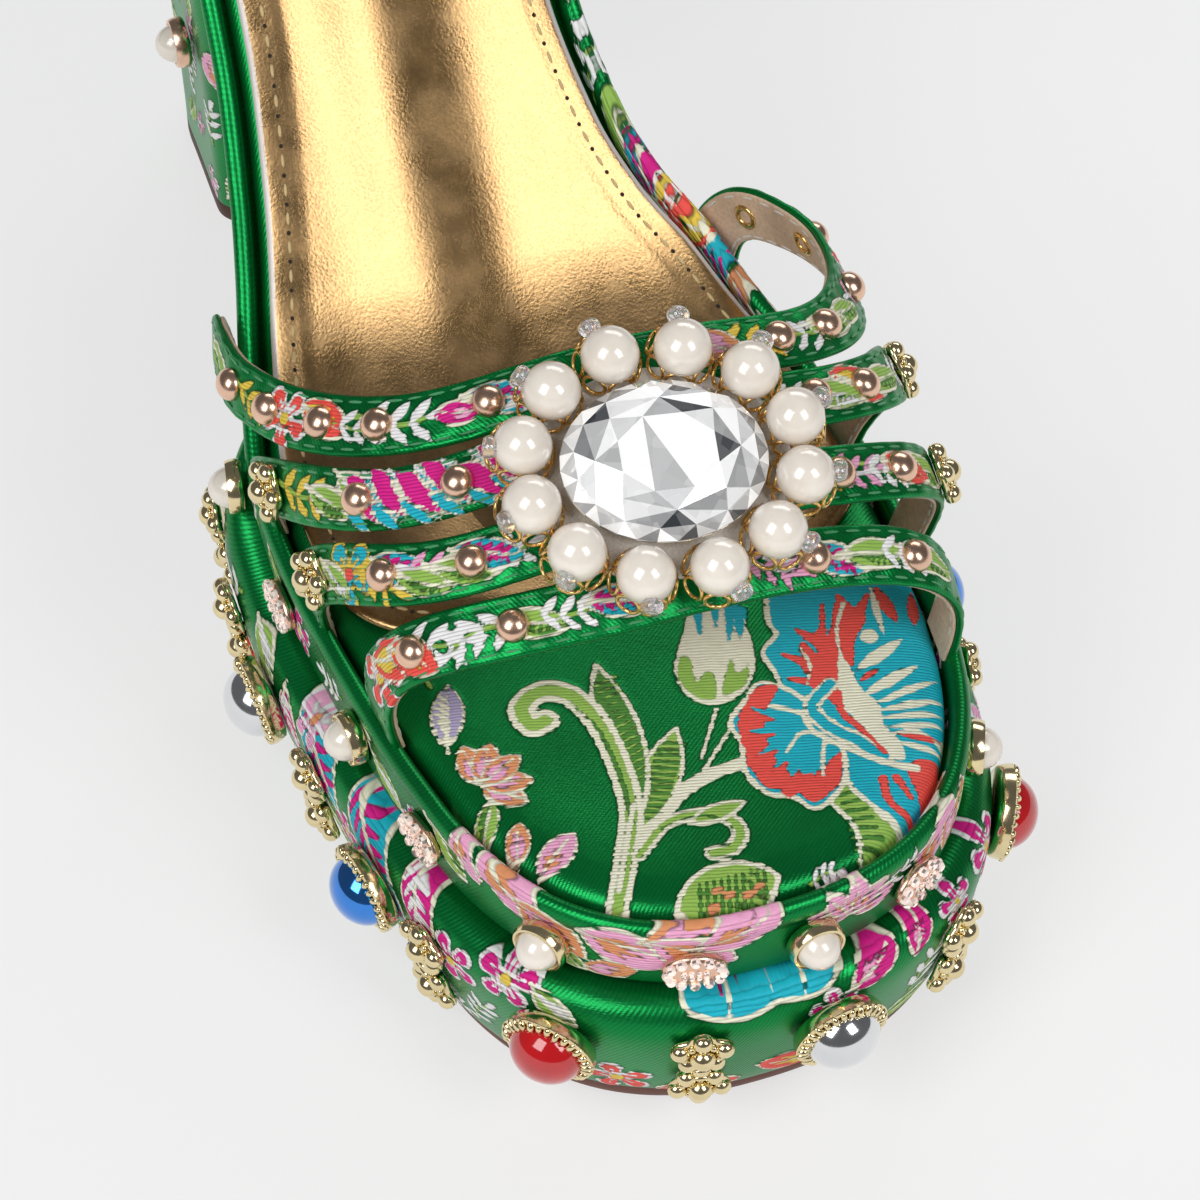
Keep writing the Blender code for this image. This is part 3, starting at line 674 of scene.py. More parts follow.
def spread(source, name, places):
    """One joined mesh of a small piece set at many places."""
    shape = source.data
    points = np.empty(len(shape.vertices) * 3)
    shape.vertices.foreach_get("co", points)
    points = np.concatenate([points.reshape(-1, 3), np.ones((len(shape.vertices), 1))], 1)
    faces = [tuple(face.vertices) for face in shape.polygons]
    count = len(points)
    everywhere = np.concatenate([points @ np.array(place).T[:, :3] for place in places])
    skins = [tuple(v + count * k for v in face) for k in range(len(places)) for face in faces]
    mesh = bpy.data.meshes.new(name)
    mesh.from_pydata(everywhere.tolist(), [], skins)
    mesh.shade_smooth()
    piece = bpy.data.objects.new(name, mesh)
    bpy.context.scene.collection.objects.link(piece)
    return piece


def drop_piece(piece):
    mesh = piece.data
    bpy.data.objects.remove(piece)
    bpy.data.meshes.remove(mesh)


def ball(radius, place=(0, 0, 0), squash=(1, 1, 1), segments=24, rings=14):
    """A rounded blob from a sphere, in mm."""
    deselect()
    bpy.ops.mesh.primitive_uv_sphere_add(segments=segments, ring_count=rings, radius=radius * MM,
                                         location=Vector(place) * MM)
    piece = bpy.context.object
    piece.scale = squash
    settle(piece)
    return smooth_shade(piece)


def frame_matrix(side, up, axis, at):
    """A frame from three directions and a point in metres."""
    turn = Matrix((Vector(side), Vector(up), Vector(axis))).transposed().to_4x4()
    return Matrix.Translation(at) @ turn


def point(x, s, z):
    return Vector(((x + CENTRE_X) * MM, (s + TOE_Y) * MM, z * MM))


# Node helpers

def new_material(name):
    made = bpy.data.materials.new(name + "_finish")
    made.use_nodes = True
    tree = made.node_tree
    return made, tree, tree.nodes["Principled BSDF"]


def wire(tree, node, inputs):
    """Wires or sets the inputs of a node."""
    for key, value in inputs.items():
        if isinstance(value, bpy.types.NodeSocket):
            tree.links.new(value, node.inputs[key])
        else:
            node.inputs[key].default_value = value


def add(tree, kind, inputs=None, **settings):
    """Adds a node, sets it up and wires or sets its inputs."""
    made = tree.nodes.new(kind)
    for key, value in settings.items():
        setattr(made, key, value)
    wire(tree, made, inputs or {})
    return made


def maths(tree, operation, a, b=0.0):
    return add(tree, "ShaderNodeMath", {0: a, 1: b}, operation=operation).outputs[0]


def span(tree, value, low, high, to_low, to_high):
    made = add(tree, "ShaderNodeMapRange", {"Value": value, "From Min": low, "From Max": high,
                                            "To Min": to_low, "To Max": to_high})
    return made.outputs["Result"]


def opaque(value):
    """A colour with its alpha; a socket stays as it is."""
    return value if isinstance(value, bpy.types.NodeSocket) else (*tuple(value)[:3], 1)


def mixed(tree, factor, a, b, blend="MIX"):
    inputs = {0: factor, 6: opaque(a), 7: opaque(b)}
    return add(tree, "ShaderNodeMix", inputs, data_type="RGBA", blend_type=blend).outputs[2]


def noise(tree, vector, scale, detail=2.0, rough=0.5):
    inputs = {"Vector": vector, "Scale": scale, "Detail": detail, "Roughness": rough}
    return add(tree, "ShaderNodeTexNoise", inputs).outputs["Fac"]


def stretched(tree, vector, scale, turn=0.0):
    made = add(tree, "ShaderNodeMapping", {"Vector": vector, "Scale": scale, "Rotation": (0, 0, turn)})
    return made.outputs["Vector"]


def place_mm(tree):
    """Object coordinates in millimetres."""
    coords = add(tree, "ShaderNodeTexCoord").outputs["Object"]
    return stretched(tree, coords, (1 / MM, 1 / MM, 1 / MM))


def bump(tree, height, strength, distance_mm):
    made = add(tree, "ShaderNodeBump", {"Height": height, "Strength": strength, "Distance": distance_mm * MM})
    return made.outputs["Normal"]


def held(tree, name, output="Fac"):
    return add(tree, "ShaderNodeAttribute", attribute_name=name).outputs[output]


def grey(tree, value):
    return add(tree, "ShaderNodeCombineColor", {"Red": value, "Green": value, "Blue": value}).outputs[0]


def group(name, inputs, outputs):
    """An empty shader node group: inputs are (name, kind, default) and outputs (name, kind)."""
    tree = bpy.data.node_groups.new(name, "ShaderNodeTree")
    for label, kind, value in inputs:
        socket = tree.interface.new_socket(label, in_out="INPUT", socket_type="NodeSocket" + kind)
        if value is not None:
            socket.default_value = value
    for label, kind in outputs:
        tree.interface.new_socket(label, in_out="OUTPUT", socket_type="NodeSocket" + kind)
    start = tree.nodes.new("NodeGroupInput")
    end = tree.nodes.new("NodeGroupOutput")
    return tree, start.outputs, end.inputs


def grouped(tree, shared, inputs):
    return add(tree, "ShaderNodeGroup", inputs, node_tree=shared).outputs


def leather_grain():
    """Pebbled grain: a height and a shade, from a place in mm."""
    shared = bpy.data.node_groups.get("leather_grain")
    if shared:
        return shared
    shared, start, end = group("leather_grain", [("Place", "Vector", None), ("Scale", "Float", 1.0)],
                               [("Height", "Float"), ("Shade", "Float")])
    cells = add(shared, "ShaderNodeTexVoronoi", {"Vector": start["Place"], "Scale": start["Scale"],
                                                 "Randomness": 1.0}, feature="SMOOTH_F1")
    fine = noise(shared, start["Place"], 4.2, 2.0, 0.6)
    broad = noise(shared, start["Place"], 0.16, 2.0)
    height = maths(shared, "ADD", maths(shared, "MULTIPLY", cells.outputs["Distance"], 0.7),
                   maths(shared, "MULTIPLY", fine, 0.5))
    shared.links.new(height, end["Height"])
    shared.links.new(broad, end["Shade"])
    return shared


def polish_wear():
    """Soft smudges on polished metal or glass: a roughness and a fine height, from a place in mm."""
    shared = bpy.data.node_groups.get("polish_wear")
    if shared:
        return shared
    inputs = [("Place", "Vector", None), ("Low", "Float", 0.1), ("High", "Float", 0.25)]
    shared, start, end = group("polish_wear", inputs, [("Roughness", "Float"), ("Height", "Float")])
    smudge = noise(shared, start["Place"], 0.55, 3.0)
    shared.links.new(span(shared, smudge, 0.3, 0.7, start["Low"], start["High"]), end["Roughness"])
    shared.links.new(noise(shared, start["Place"], 5.0, 2.0), end["Height"])
    return shared


def polished(tree, place, low, high):
    """Roughness and fine height of a polished surface."""
    return grouped(tree, polish_wear(), {"Place": place, "Low": low, "High": high})


def clouded(tree, noise_value, colour, dark):
    """A colour that is darker where a noise is low."""
    tone = span(tree, noise_value, 0.3, 0.7, 0.0, 1.0)
    return mixed(tree, tone, tuple(c * dark for c in colour), colour)


# Finishes

def brocade(colours):
    """Green satin with woven motifs: each yarn's edge is a distance in mm kept on the mesh."""
    made, tree, shader = new_material("brocade")
    thread = held(tree, "thread", "Vector")
    lane = add(tree, "ShaderNodeSeparateXYZ", {"Vector": thread}).outputs
    sway = maths(tree, "MULTIPLY", noise(tree, thread, 0.22, 2.0), 1.4)
    row = maths(tree, "ADD", maths(tree, "DIVIDE", lane["Y"], THREAD_PITCH), sway)
    number = maths(tree, "FLOOR", row)
    own = add(tree, "ShaderNodeTexWhiteNoise", {"W": number}, noise_dimensions="1D").outputs["Value"]
    side = maths(tree, "SUBTRACT", maths(tree, "MULTIPLY", maths(tree, "FRACT", row), 2.0), 1.0)
    crown = maths(tree, "SUBTRACT", 1.0, maths(tree, "POWER", maths(tree, "ABSOLUTE", side), 2.5))
    lengthwise = add(tree, "ShaderNodeCombineXYZ", {"X": maths(tree, "MULTIPLY", lane["X"], 0.45),
                                                    "Y": maths(tree, "MULTIPLY", number, 3.7)}).outputs[0]
    drift = noise(tree, lengthwise, 1.0, 2.0)
    # Fine streaks along the threads: painted glints in the colour, and relief in the bump.
    fine = noise(tree, stretched(tree, thread, (0.9, 6.0, 1.0)), 1.0, 1.0)
    slow = noise(tree, thread, 0.05, 2.0)
    twill = add(tree, "ShaderNodeTexWave", {"Vector": stretched(tree, thread, (1, 1, 1), radians(35)),
                                            "Scale": 0.62, "Distortion": 0.6, "Detail": 1.0}).outputs["Fac"]
    jag = maths(tree, "ADD", maths(tree, "MULTIPLY", maths(tree, "SUBTRACT", own, 1.0), 0.22),
                maths(tree, "MULTIPLY", maths(tree, "SUBTRACT", drift, 0.5), 0.45))
    base = tuple(colours.ground)
    colour = mixed(tree, span(tree, slow, 0.3, 0.7, 0.0, 1.0), tuple(c * 0.80 for c in base),
                   tuple(min(1.0, c * 1.15) for c in base))
    second = maths(tree, "ABSOLUTE", maths(tree, "MODULO", number, 2.0))
    edge_away = maths(tree, "ADD", held(tree, "away_any"), jag)
    # The ground's tone: the twill of its weave, with painted glints from the fine streaks.
    satin = span(tree, maths(tree, "ADD", twill, fine), 0.4, 1.6, 0.84, 1.10)
    # Painted shadow: the ground is darkened to half just outside each motif's edge.
    satin = maths(tree, "MULTIPLY", satin, span(tree, edge_away, 0.0, 0.40, 0.50, 1.0))
    colour = mixed(tree, 1.0, colour, grey(tree, satin), "MULTIPLY")
    for name in YARNS:
        away = maths(tree, "ADD", held(tree, "away_" + name), jag)
        yarn = mixed(tree, drift, tuple(0.88 * c for c in getattr(colours, name)),
                     tuple(min(1.0, 1.12 * c) for c in getattr(colours, name)))
        # Painted shade in the grooves between threads, from each thread's crown, times painted glints along
        # it from the fine streaks.
        strand = maths(tree, "MULTIPLY", span(tree, crown, 0.0, 0.7, 0.76, 1.02),
                       span(tree, fine, 0.2, 0.8, 0.92, 1.12))
        # Painted shade between yarns: on every second thread each yarn darkens near its edge, drawing a
        # dotted dark outline; border is how deep, lighter for the pale yarns.
        border = 0.40 if name in PALE_YARNS else 0.75
        dark = maths(tree, "MULTIPLY", second, span(tree, away, -0.24, -0.03, 0.0, border))
        strand = maths(tree, "MULTIPLY", strand, maths(tree, "SUBTRACT", 1.0, dark))
        yarn = mixed(tree, 1.0, yarn, grey(tree, strand), "MULTIPLY")
        colour = mixed(tree, span(tree, away, -0.05, 0.05, 1.0, 0.0), colour, yarn)
    motif = span(tree, edge_away, -0.07, 0.07, 1.0, 0.0)
    ridge = maths(tree, "MULTIPLY", crown, span(tree, motif, 0, 1, 0.0, 0.75))
    weave = maths(tree, "ADD", maths(tree, "MULTIPLY", fine, 0.18), maths(tree, "MULTIPLY", twill, 0.10))
    height = maths(tree, "ADD", maths(tree, "ADD", ridge, weave), maths(tree, "MULTIPLY", motif, 0.5))
    wire(tree, shader, {"Base Color": colour, "Metallic": span(tree, motif, 0, 1, 0.74, 0.0),
                        "Roughness": span(tree, motif, 0, 1, 0.33, 0.55),
                        "Normal": bump(tree, height, 0.7, 0.24), "Specular IOR Level": 0.25})
    return made


def leather(name, colour, metallic, rough, grain, depth_mm, dark=0.7, raw=None):
    """Grained leather, plain or foiled; raw is the colour of its cut edge where the mesh marks one."""
    made, tree, shader = new_material(name)
    out = grouped(tree, leather_grain(), {"Place": place_mm(tree), "Scale": grain})
    base = clouded(tree, out["Shade"], colour, dark)
    # Painted shade in the low spots of the grain.
    grain_pit_shade = span(tree, out["Height"], 0.25, 0.75, 0.82, 1.06)
    shown = mixed(tree, 1.0, base, grey(tree, grain_pit_shade), "MULTIPLY")
    if raw:
        cut = held(tree, "raw")
        shown = mixed(tree, cut, shown, raw)
        metallic = span(tree, cut, 0, 1, metallic, 0.0)
    wire(tree, shader, {"Base Color": shown, "Metallic": metallic,
                        "Roughness": span(tree, out["Shade"], 0.3, 0.7, rough * 0.85, rough * 1.2),
                        "Normal": bump(tree, out["Height"], 0.6, depth_mm)})
    return made


def metal(name, colour, low, high):
    """Plated metal with soft smudges."""
    made, tree, shader = new_material(name)
    place = place_mm(tree)
    out = polished(tree, place, low, high)
    wire(tree, shader, {"Base Color": clouded(tree, noise(tree, place, 0.35), colour, 0.86), "Metallic": 1.0,
                        "Roughness": out["Roughness"], "Normal": bump(tree, out["Height"], 0.15, 0.03)})
    return made


def gloss(name, colour, metallic, low, high, dark):
    """A smooth polished dome."""
    made, tree, shader = new_material(name)
    place = place_mm(tree)
    wire(tree, shader, {"Base Color": clouded(tree, noise(tree, place, 0.22), colour, dark),
                        "Roughness": polished(tree, place, low, high)["Roughness"],
                        "Metallic": metallic, "Coat Weight": 1.0, "Coat Roughness": 0.03})
    return made


def pearl(name, colour, warm):
    """Pearl lustre: cream in the middle, going to a painted warm shade and reflection where it turns away."""
    made, tree, shader = new_material(name)
    place = place_mm(tree)
    # Painted shade and warm reflection towards the rim as seen, with some random clouding.
    turning = add(tree, "ShaderNodeLayerWeight", {"Blend": 0.35}).outputs["Facing"]
    cloud = span(tree, noise(tree, place, 0.3), 0.3, 0.7, 0.0, 0.25)
    tone = maths(tree, "ADD", span(tree, turning, 0.25, 0.95, 0.0, 0.75), cloud)
    wire(tree, shader, {"Base Color": mixed(tree, tone, colour, warm),
                        "Roughness": polished(tree, place, 0.12, 0.22)["Roughness"],
                        "Coat Weight": 1.0, "Coat Roughness": 0.13, "Specular IOR Level": 0.7})
    return made


def fibre(name, colour, scale, rough):
    """Felt, sewing thread or the painted shade of needle holes: a fibrous matt finish."""
    made, tree, shader = new_material(name)
    strands = noise(tree, place_mm(tree), scale, 4.0, 0.7)
    wire(tree, shader, {"Base Color": clouded(tree, strands, colour, 0.7),
                        "Roughness": span(tree, strands, 0.3, 0.7, rough, min(1.0, rough + 0.15)),
                        "Normal": bump(tree, strands, 0.5, 0.15), "Sheen Weight": 0.3})
    return made


def crystal(name, light):
    """Foil-backed cut crystal with painted light: each facet has a painted reflection tone, broken up by
    painted straight-edged inner reflections, and it has a painted glow.
    """
    made, tree, shader = new_material(name)
    place = place_mm(tree)
    cells = add(tree, "ShaderNodeTexVoronoi", {"Vector": place, "Scale": 0.42}, feature="F1").outputs["Color"]
    inner = add(tree, "ShaderNodeSeparateColor", {"Color": cells}).outputs["Red"]
    tone = maths(tree, "ADD", maths(tree, "MULTIPLY", held(tree, "facet"), 0.88),
                 maths(tree, "MULTIPLY", inner, 0.12))
    # Painted reflections from near black to the light colour; the same colour glows as painted light.
    shown = mixed(tree, span(tree, tone, 0.05, 0.92, 0.0, 1.0), (0.03, 0.035, 0.04), light)
    wire(tree, shader, {"Base Color": shown, "Emission Color": shown, "Emission Strength": 0.3,
                        "Roughness": polished(tree, place, 0.01, 0.05)["Roughness"], "Metallic": 0.12,
                        "Coat Weight": 1.0, "Coat Roughness": 0.01, "Coat IOR": 1.7})
    return made


def clear_glass(name, pale):
    """A clear bead with a rainbow coating."""
    made, tree, shader = new_material(name)
    place = place_mm(tree)
    tint = add(tree, "ShaderNodeTexNoise", {"Vector": place, "Scale": 0.45, "Detail": 1.0}).outputs["Color"]
    wire(tree, shader, {"Base Color": mixed(tree, 0.78, tint, pale), "Transmission Weight": 0.8,
                        "Roughness": polished(tree, place, 0.03, 0.12)["Roughness"],
                        "Coat Weight": 1.0, "Coat Roughness": 0.02})
    return made


# Finishes by name: how they are made, their colour or the setting that holds it, and the rest
Finish = namedtuple("Finish", "maker colour rest")
FINISHES = {
    "gold_leather": Finish(leather, "sock", {"metallic": 1.0, "rough": 0.265, "grain": 2.4, "depth_mm": 0.045,
                                             "raw": (0.62, 0.58, 0.55)}),
    "lining": Finish(leather, "lining", {"metallic": 0.0, "rough": 0.52, "grain": 1.8, "depth_mm": 0.06}),
    "outsole": Finish(leather, "sole", {"metallic": 0.0, "rough": 0.55, "grain": 0.9, "depth_mm": 0.08}),
    "top_piece": Finish(leather, (0.08, 0.0275, 0.0175), {"metallic": 0.0, "rough": 0.6, "grain": 0.9,
                                                          "depth_mm": 0.10}),
    "pale_gold": Finish(metal, "pale_gold", {"low": 0.10, "high": 0.20}),
    "rose_gold": Finish(metal, "rose_gold", {"low": 0.20, "high": 0.30}),
    "wire": Finish(metal, "wire", {"low": 0.18, "high": 0.30}),
    "pearl": Finish(pearl, "pearl", {"warm": (0.70, 0.57, 0.46)}),
    "red": Finish(gloss, "red", {"metallic": 0.0, "low": 0.10, "high": 0.16, "dark": 0.8}),
    "blue": Finish(gloss, "blue", {"metallic": 0.9, "low": 0.06, "high": 0.12, "dark": 0.8}),
    "silver": Finish(gloss, "silver", {"metallic": 1.0, "low": 0.09, "high": 0.15, "dark": 0.95}),
    "felt": Finish(fibre, "felt", {"scale": 3.0, "rough": 0.8}),
    "green_thread": Finish(fibre, (0.05, 0.36, 0.13), {"scale": 4.0, "rough": 0.5}),
    "gold_thread": Finish(fibre, (0.80, 0.60, 0.28), {"scale": 4.0, "rough": 0.5}),
    "white_thread": Finish(fibre, (0.78, 0.74, 0.68), {"scale": 4.0, "rough": 0.6}),
    # Painted shade of the sock's needle holes.
    "needle_hole": Finish(fibre, (0.035, 0.02, 0.008), {"scale": 4.0, "rough": 0.9}),
    "crystal": Finish(crystal, (1.0, 1.0, 1.0), {}),
    "rose_crystal": Finish(crystal, (1.0, 0.82, 0.74), {}),
    "seed_glass": Finish(clear_glass, (1.0, 0.97, 0.98), {}),
}


def finish(name):
    """A material by name, made the first time it is asked for."""
    made = bpy.data.materials.get(name + "_finish")
    if made:
        return made
    colours = bpy.context.scene.mule_colours
    if name == "brocade":
        return brocade(colours)
    row = FINISHES[name]
    colour = getattr(colours, row.colour) if isinstance(row.colour, str) else row.colour
    return row.maker(name, tuple(colour), **row.rest)


# Woven motifs: a chart holds, for every point of a cloth, how far it is from each yarn's areas

def curve(points, closed=False, steps=7):
    """A smooth line through a few points."""
    knots = np.asarray(points, float)
    if closed:
        knots = np.concatenate([knots[-1:], knots, knots[:2]])
    else:
        knots = np.concatenate([2 * knots[:1] - knots[1:2], knots, 2 * knots[-1:] - knots[-2:-1]])
    line = []
    for p, q, r, t in zip(knots, knots[1:], knots[2:], knots[3:]):
        for k in np.arange(steps) / steps:
            bend = 2 * q + (r - p) * k + (2 * p - 5 * q + 4 * r - t) * k**2 + (3 * q - p - 3 * r + t) * k**3
            line.append(0.5 * bend)
    if not closed:
        line.append(knots[-2])
    return np.array(line)


class Chart:
    """Signed distances in mm from the points of a cloth to the edges of each yarn's areas."""

    def __init__(self, u, v):
        self.shape = u.shape
        self.u, self.v = u.ravel(), v.ravel()
        self.away = {name: np.full(self.u.shape, FAR) for name in YARNS}

    def window(self, points, reach):
        low, high = np.min(points, 0) - reach - FAR, np.max(points, 0) + reach + FAR
        inside = (self.u > low[0]) & (self.u < high[0]) & (self.v > low[1]) & (self.v < high[1])
        return np.nonzero(inside)[0]

    def lay(self, yarn, at, away, rim=0.0):
        """Weaves an area in one yarn over what is there, with a cream rim outside it."""
        if rim:
            self.lay("cream", at, away - rim)
        for name in YARNS:
            field = self.away[name]
            field[at] = np.minimum(field[at], away) if name == yarn else np.maximum(field[at], -away)

    def line(self, yarn, points, first, last, rim=0.0):
        """A stroke along a line whose half-width goes from first to last."""
        points = np.asarray(points, float)
        at = self.window(points, max(first, last) + rim)
        u, v = self.u[at], self.v[at]
        away = np.full(u.shape, 1e3)
        count = len(points) - 1
        for k, (a, b) in enumerate(zip(points, points[1:])):
            run = b - a
            t = np.clip(((u - a[0]) * run[0] + (v - a[1]) * run[1]) / max(float(run @ run), 1e-9), 0, 1)
            half = first + (last - first) * (k + t) / count
            away = np.minimum(away, np.hypot(u - a[0] - run[0] * t, v - a[1] - run[1] * t) - half)
        self.lay(yarn, at, away, rim)

    def lens(self, yarn, a, b, half, rim=0.0):
        """A leaf shape, pointed at both ends."""
        a, b = np.asarray(a, float), np.asarray(b, float)
        at = self.window((a, b), half + rim)
        length = max(float(np.hypot(*(b - a))), 1e-6)
        way = (b - a) / length
        du, dv = self.u[at] - 0.5 * (a[0] + b[0]), self.v[at] - 0.5 * (a[1] + b[1])
        along, side = du * way[0] + dv * way[1], np.abs(dv * way[0] - du * way[1])
        radius = (length**2 / 4 + half**2) / (2 * half)
        self.lay(yarn, at, np.hypot(along, side + radius - half) - radius, rim)

    def area(self, yarn, loop, rim=0.0):
        """A filled outline."""
        at = self.window(loop, rim)
        u, v = self.u[at], self.v[at]
        away = np.full(u.shape, 1e3)
        inside = np.zeros(u.shape, bool)
        for (au, av), (bu, bv) in zip(loop, np.roll(loop, -1, axis=0)):
            eu, ev = bu - au, bv - av
            t = np.clip(((u - au) * eu + (v - av) * ev) / max(eu * eu + ev * ev, 1e-9), 0, 1)
            away = np.minimum(away, np.hypot(u - au - eu * t, v - av - ev * t))
            if ev:
                inside ^= ((av > v) != (bv > v)) & (u < au + eu * (v - av) / ev)
        self.lay(yarn, at, np.where(inside, -away, away), rim)

    def any(self):
        return np.clip(np.min([self.away[name] for name in YARNS], axis=0), -FAR, FAR).reshape(self.shape)

    def values(self, turn=0.0):
        """Point attributes for the brocade: distances, and a place turned so that x runs along the yarns."""
        kept = {}
        for name, away in self.away.items():
            kept["away_" + name] = np.clip(away, -FAR, FAR).reshape(self.shape)
        kept["away_any"] = self.any()
        u, v = self.u.reshape(self.shape), self.v.reshape(self.shape)
        along, across = u * cos(turn) + v * sin(turn), v * cos(turn) - u * sin(turn)
        kept["thread"] = np.stack([along, across, np.zeros_like(u)], -1)
        return kept

    def relief(self):
        return np.clip(0.5 - self.any() / 0.5, 0, 1)


class Pen:
    """Draws on a chart in a motif's own coordinates: a place, and where its x and y point."""

    def __init__(self, chart, at, across, down, size):
        self.chart, self.size = chart, size
        self.origin, self.across, self.down = (np.asarray(v, float) for v in (at, across, down))

    def at(self, points):
        points = np.asarray(points, float)
        return self.origin + points[..., :1] * self.across + points[..., 1:] * self.down

    def stroke(self, yarn, points, first, last, rim=0.0):
        line = self.at(points)
        line = curve(line) if len(line) > 2 else line
        self.chart.line(yarn, line, first * self.size, last * self.size, rim * self.size)

    def lens(self, yarn, a, b, half, rim=0.0):
        self.chart.lens(yarn, self.at(a), self.at(b), half * self.size, rim * self.size)

    def area(self, yarn, points, rim=0.0):
        self.chart.area(yarn, curve(self.at(points), closed=True, steps=4), rim * self.size)

    def disc(self, yarn, at, radius, rim=0.0):
        self.stroke(yarn, (at, (at[0] + 0.01, at[1])), radius, radius, rim)


def motif_pen(chart, u, v, turn, size):
    a = radians(turn)
    return Pen(chart, (u, v), (size * cos(a), size * sin(a)), (-size * sin(a), size * cos(a)), size)


def round_point(turn, radius):
    return radius * cos(turn), radius * sin(turn)


def blossom(pen, yarn, border, heart):
    """Five round petals, each with a pale border, round a small heart."""
    turns = [2 * pi * k / 5 + 0.35 for k in range(5)]
    for turn in turns:
        pen.stroke(border, (round_point(turn, 1.0), round_point(turn, 3.1)), 0.6, 1.45)
    for turn in turns:
        pen.stroke(yarn, (round_point(turn, 0.8), round_point(turn, 3.0)), 0.45, 1.2)
        pen.stroke(border, (round_point(turn, 1.2), round_point(turn, 2.6)), 0.05, 0.10)
    pen.disc(heart, (0, 0), 0.85)


def petal(pen, tip, base):
    """One long petal: its tip in one yarn, its base in another, worked into each other in teeth."""
    pen.lens(tip, (-5.5, 0), (5.5, 0), 2.9, 0.22)
    for y, reach in ((-1.7, 0.2), (-0.8, 2.0), (0.1, 0.6), (1.0, 2.4), (1.8, -0.4)):
        pen.stroke(base, ((-3.6 + abs(y), 0.6 * y), (reach, y)), 0.62, 0.12)
    pen.stroke("cream", ((-4.8, 0), (3.8, 0.3)), 0.16, 0.08)


def lotus(pen, tip, base):
    """Petals fanned out from one foot."""
    for turn in (70, -70, 38, -38, 0):
        a = radians(turn)
        sub = Pen(pen.chart, pen.at((4.2 * cos(a), 4.2 * sin(a))),
                  0.72 * (pen.across * cos(a) + pen.down * sin(a)),
                  0.72 * (pen.down * cos(a) - pen.across * sin(a)), 0.72 * pen.size)
        petal(sub, tip, base)


def feather(pen, body, barb):
    """A curved leaf with barbs of a second colour."""
    pen.lens(body, (-6, 0), (6, 0), 2.5, 0.22)
    for x in (-3.6, -1.8, 0.0, 1.8, 3.4):
        pen.stroke(barb, ((x - 0.7, 0.25), (x + 0.6, 1.7)), 0.42, 0.12)
        pen.stroke(barb, ((x - 0.7, -0.25), (x + 0.6, -1.7)), 0.42, 0.12)
    pen.stroke("cream", ((-6.6, 0), (5.2, 0)), 0.24, 0.12)


def sprig(pen, yarn, stem):
    """A small stem with paired leaves."""
    pen.stroke(stem, ((-5, -1), (0, 0.3), (4, -0.2)), 0.28, 0.18)
    for x, y in ((-3.4, -0.5), (-0.9, 0.1), (1.6, 0.2)):
        pen.lens(yarn, (x, y), (x + 2.3, y + 2.6), 0.48)
        pen.lens(yarn, (x, y), (x + 2.5, y - 2.4), 0.48)
    pen.lens(yarn, (3.4, -0.1), (6.6, -0.4), 0.5)


def leaf(pen, light, dark):
    """A leaf with one half darker and a pale midrib."""
    pen.lens(light, (-5, 0), (5, 0), 2.1, 0.22)
    for k in range(7):
        x = -3.6 + k
        pen.stroke(dark, ((x, 0.2), (x + 0.9, 1.5 - 0.09 * (x - 0.2) ** 2)), 0.22, 0.16)
    pen.stroke("cream", ((-6, -0.1), (4.6, 0)), 0.22, 0.10)


def ribbon(pen, body, tick):
    """A folded band with pale edges and short ticks."""
    pen.stroke(body, ((-9, 1.2), (-4, -0.4), (1, 0.5), (6, -0.3), (9, 0.8)), 1.7, 2.2, 0.4)
    for x in (-6.0, -3.6, -1.2, 1.6, 4.0, 6.6):
        pen.stroke(tick, ((x, 1.9), (x + 0.2, 0.4)), 0.40, 0.16)
    for x in (-5.0, 0.6, 5.4):
        pen.stroke("cream", ((x - 0.6, -2.0), (x, 0.0), (x + 0.2, 1.8)), 0.16, 0.16)


def bands(pen, first, second):
    """Slim slanted leaves of one yarn over broad ones of another, with pale edges and ticks."""
    for k in range(4):
        x = 4.0 * (k - 1.5)
        reach = 1.0 + 0.3 * sin(2.3 * k)
        pen.lens(second, (x - 4.6, -3.4 * reach), (x + 3.4, 3.6), 1.9, 0.12)
        pen.lens(first, (x - 1.8, -4.0), (x + 4.4, 3.2 * reach), 1.1, 0.12)
        pen.lens(first, (x - 4.2, 0.6), (x - 0.4, 4.4), 0.7, 0.10)
        pen.stroke("white", ((x - 1.6, -3.6), (x - 0.2, -2.2)), 0.26, 0.10)


# Motifs by name: how they are drawn and in which yarns
KINDS = {
    "magenta_blossom": (blossom, ("magenta", "white", "yellow")),
    "coral_blossom": (blossom, ("coral", "white", "yellow")),
    "pink_blossom": (blossom, ("pink", "white", "orange")),
    "teal_blossom": (blossom, ("teal", "yellow", "coral")),
    "pink_petal": (petal, ("pink", "orange")),
    "orange_petal": (petal, ("orange", "pink")),
    "coral_petal": (petal, ("coral", "yellow")),
    "pink_lotus": (lotus, ("pink", "orange")),
    "teal_feather": (feather, ("teal", "magenta")),
    "magenta_feather": (feather, ("magenta", "white")),
    "white_sprig": (sprig, ("white", "leaf")),
    "pink_sprig": (sprig, ("pink", "white")),
    "yellow_sprig": (sprig, ("yellow", "leaf")),
    "leaf": (leaf, ("leaf", "fern")),
    "white_leaf": (leaf, ("leaf", "white")),
    "teal_ribbon": (ribbon, ("teal", "magenta")),
    "magenta_petal": (petal, ("magenta", "pink")),
    "teal_bands": (bands, ("teal", "magenta")),
    "orange_lotus": (lotus, ("orange", "pink")),
    "lavender_leaf": (leaf, ("lavender", "cream")),
}
Motif = namedtuple("Motif", "kind u v turn size")


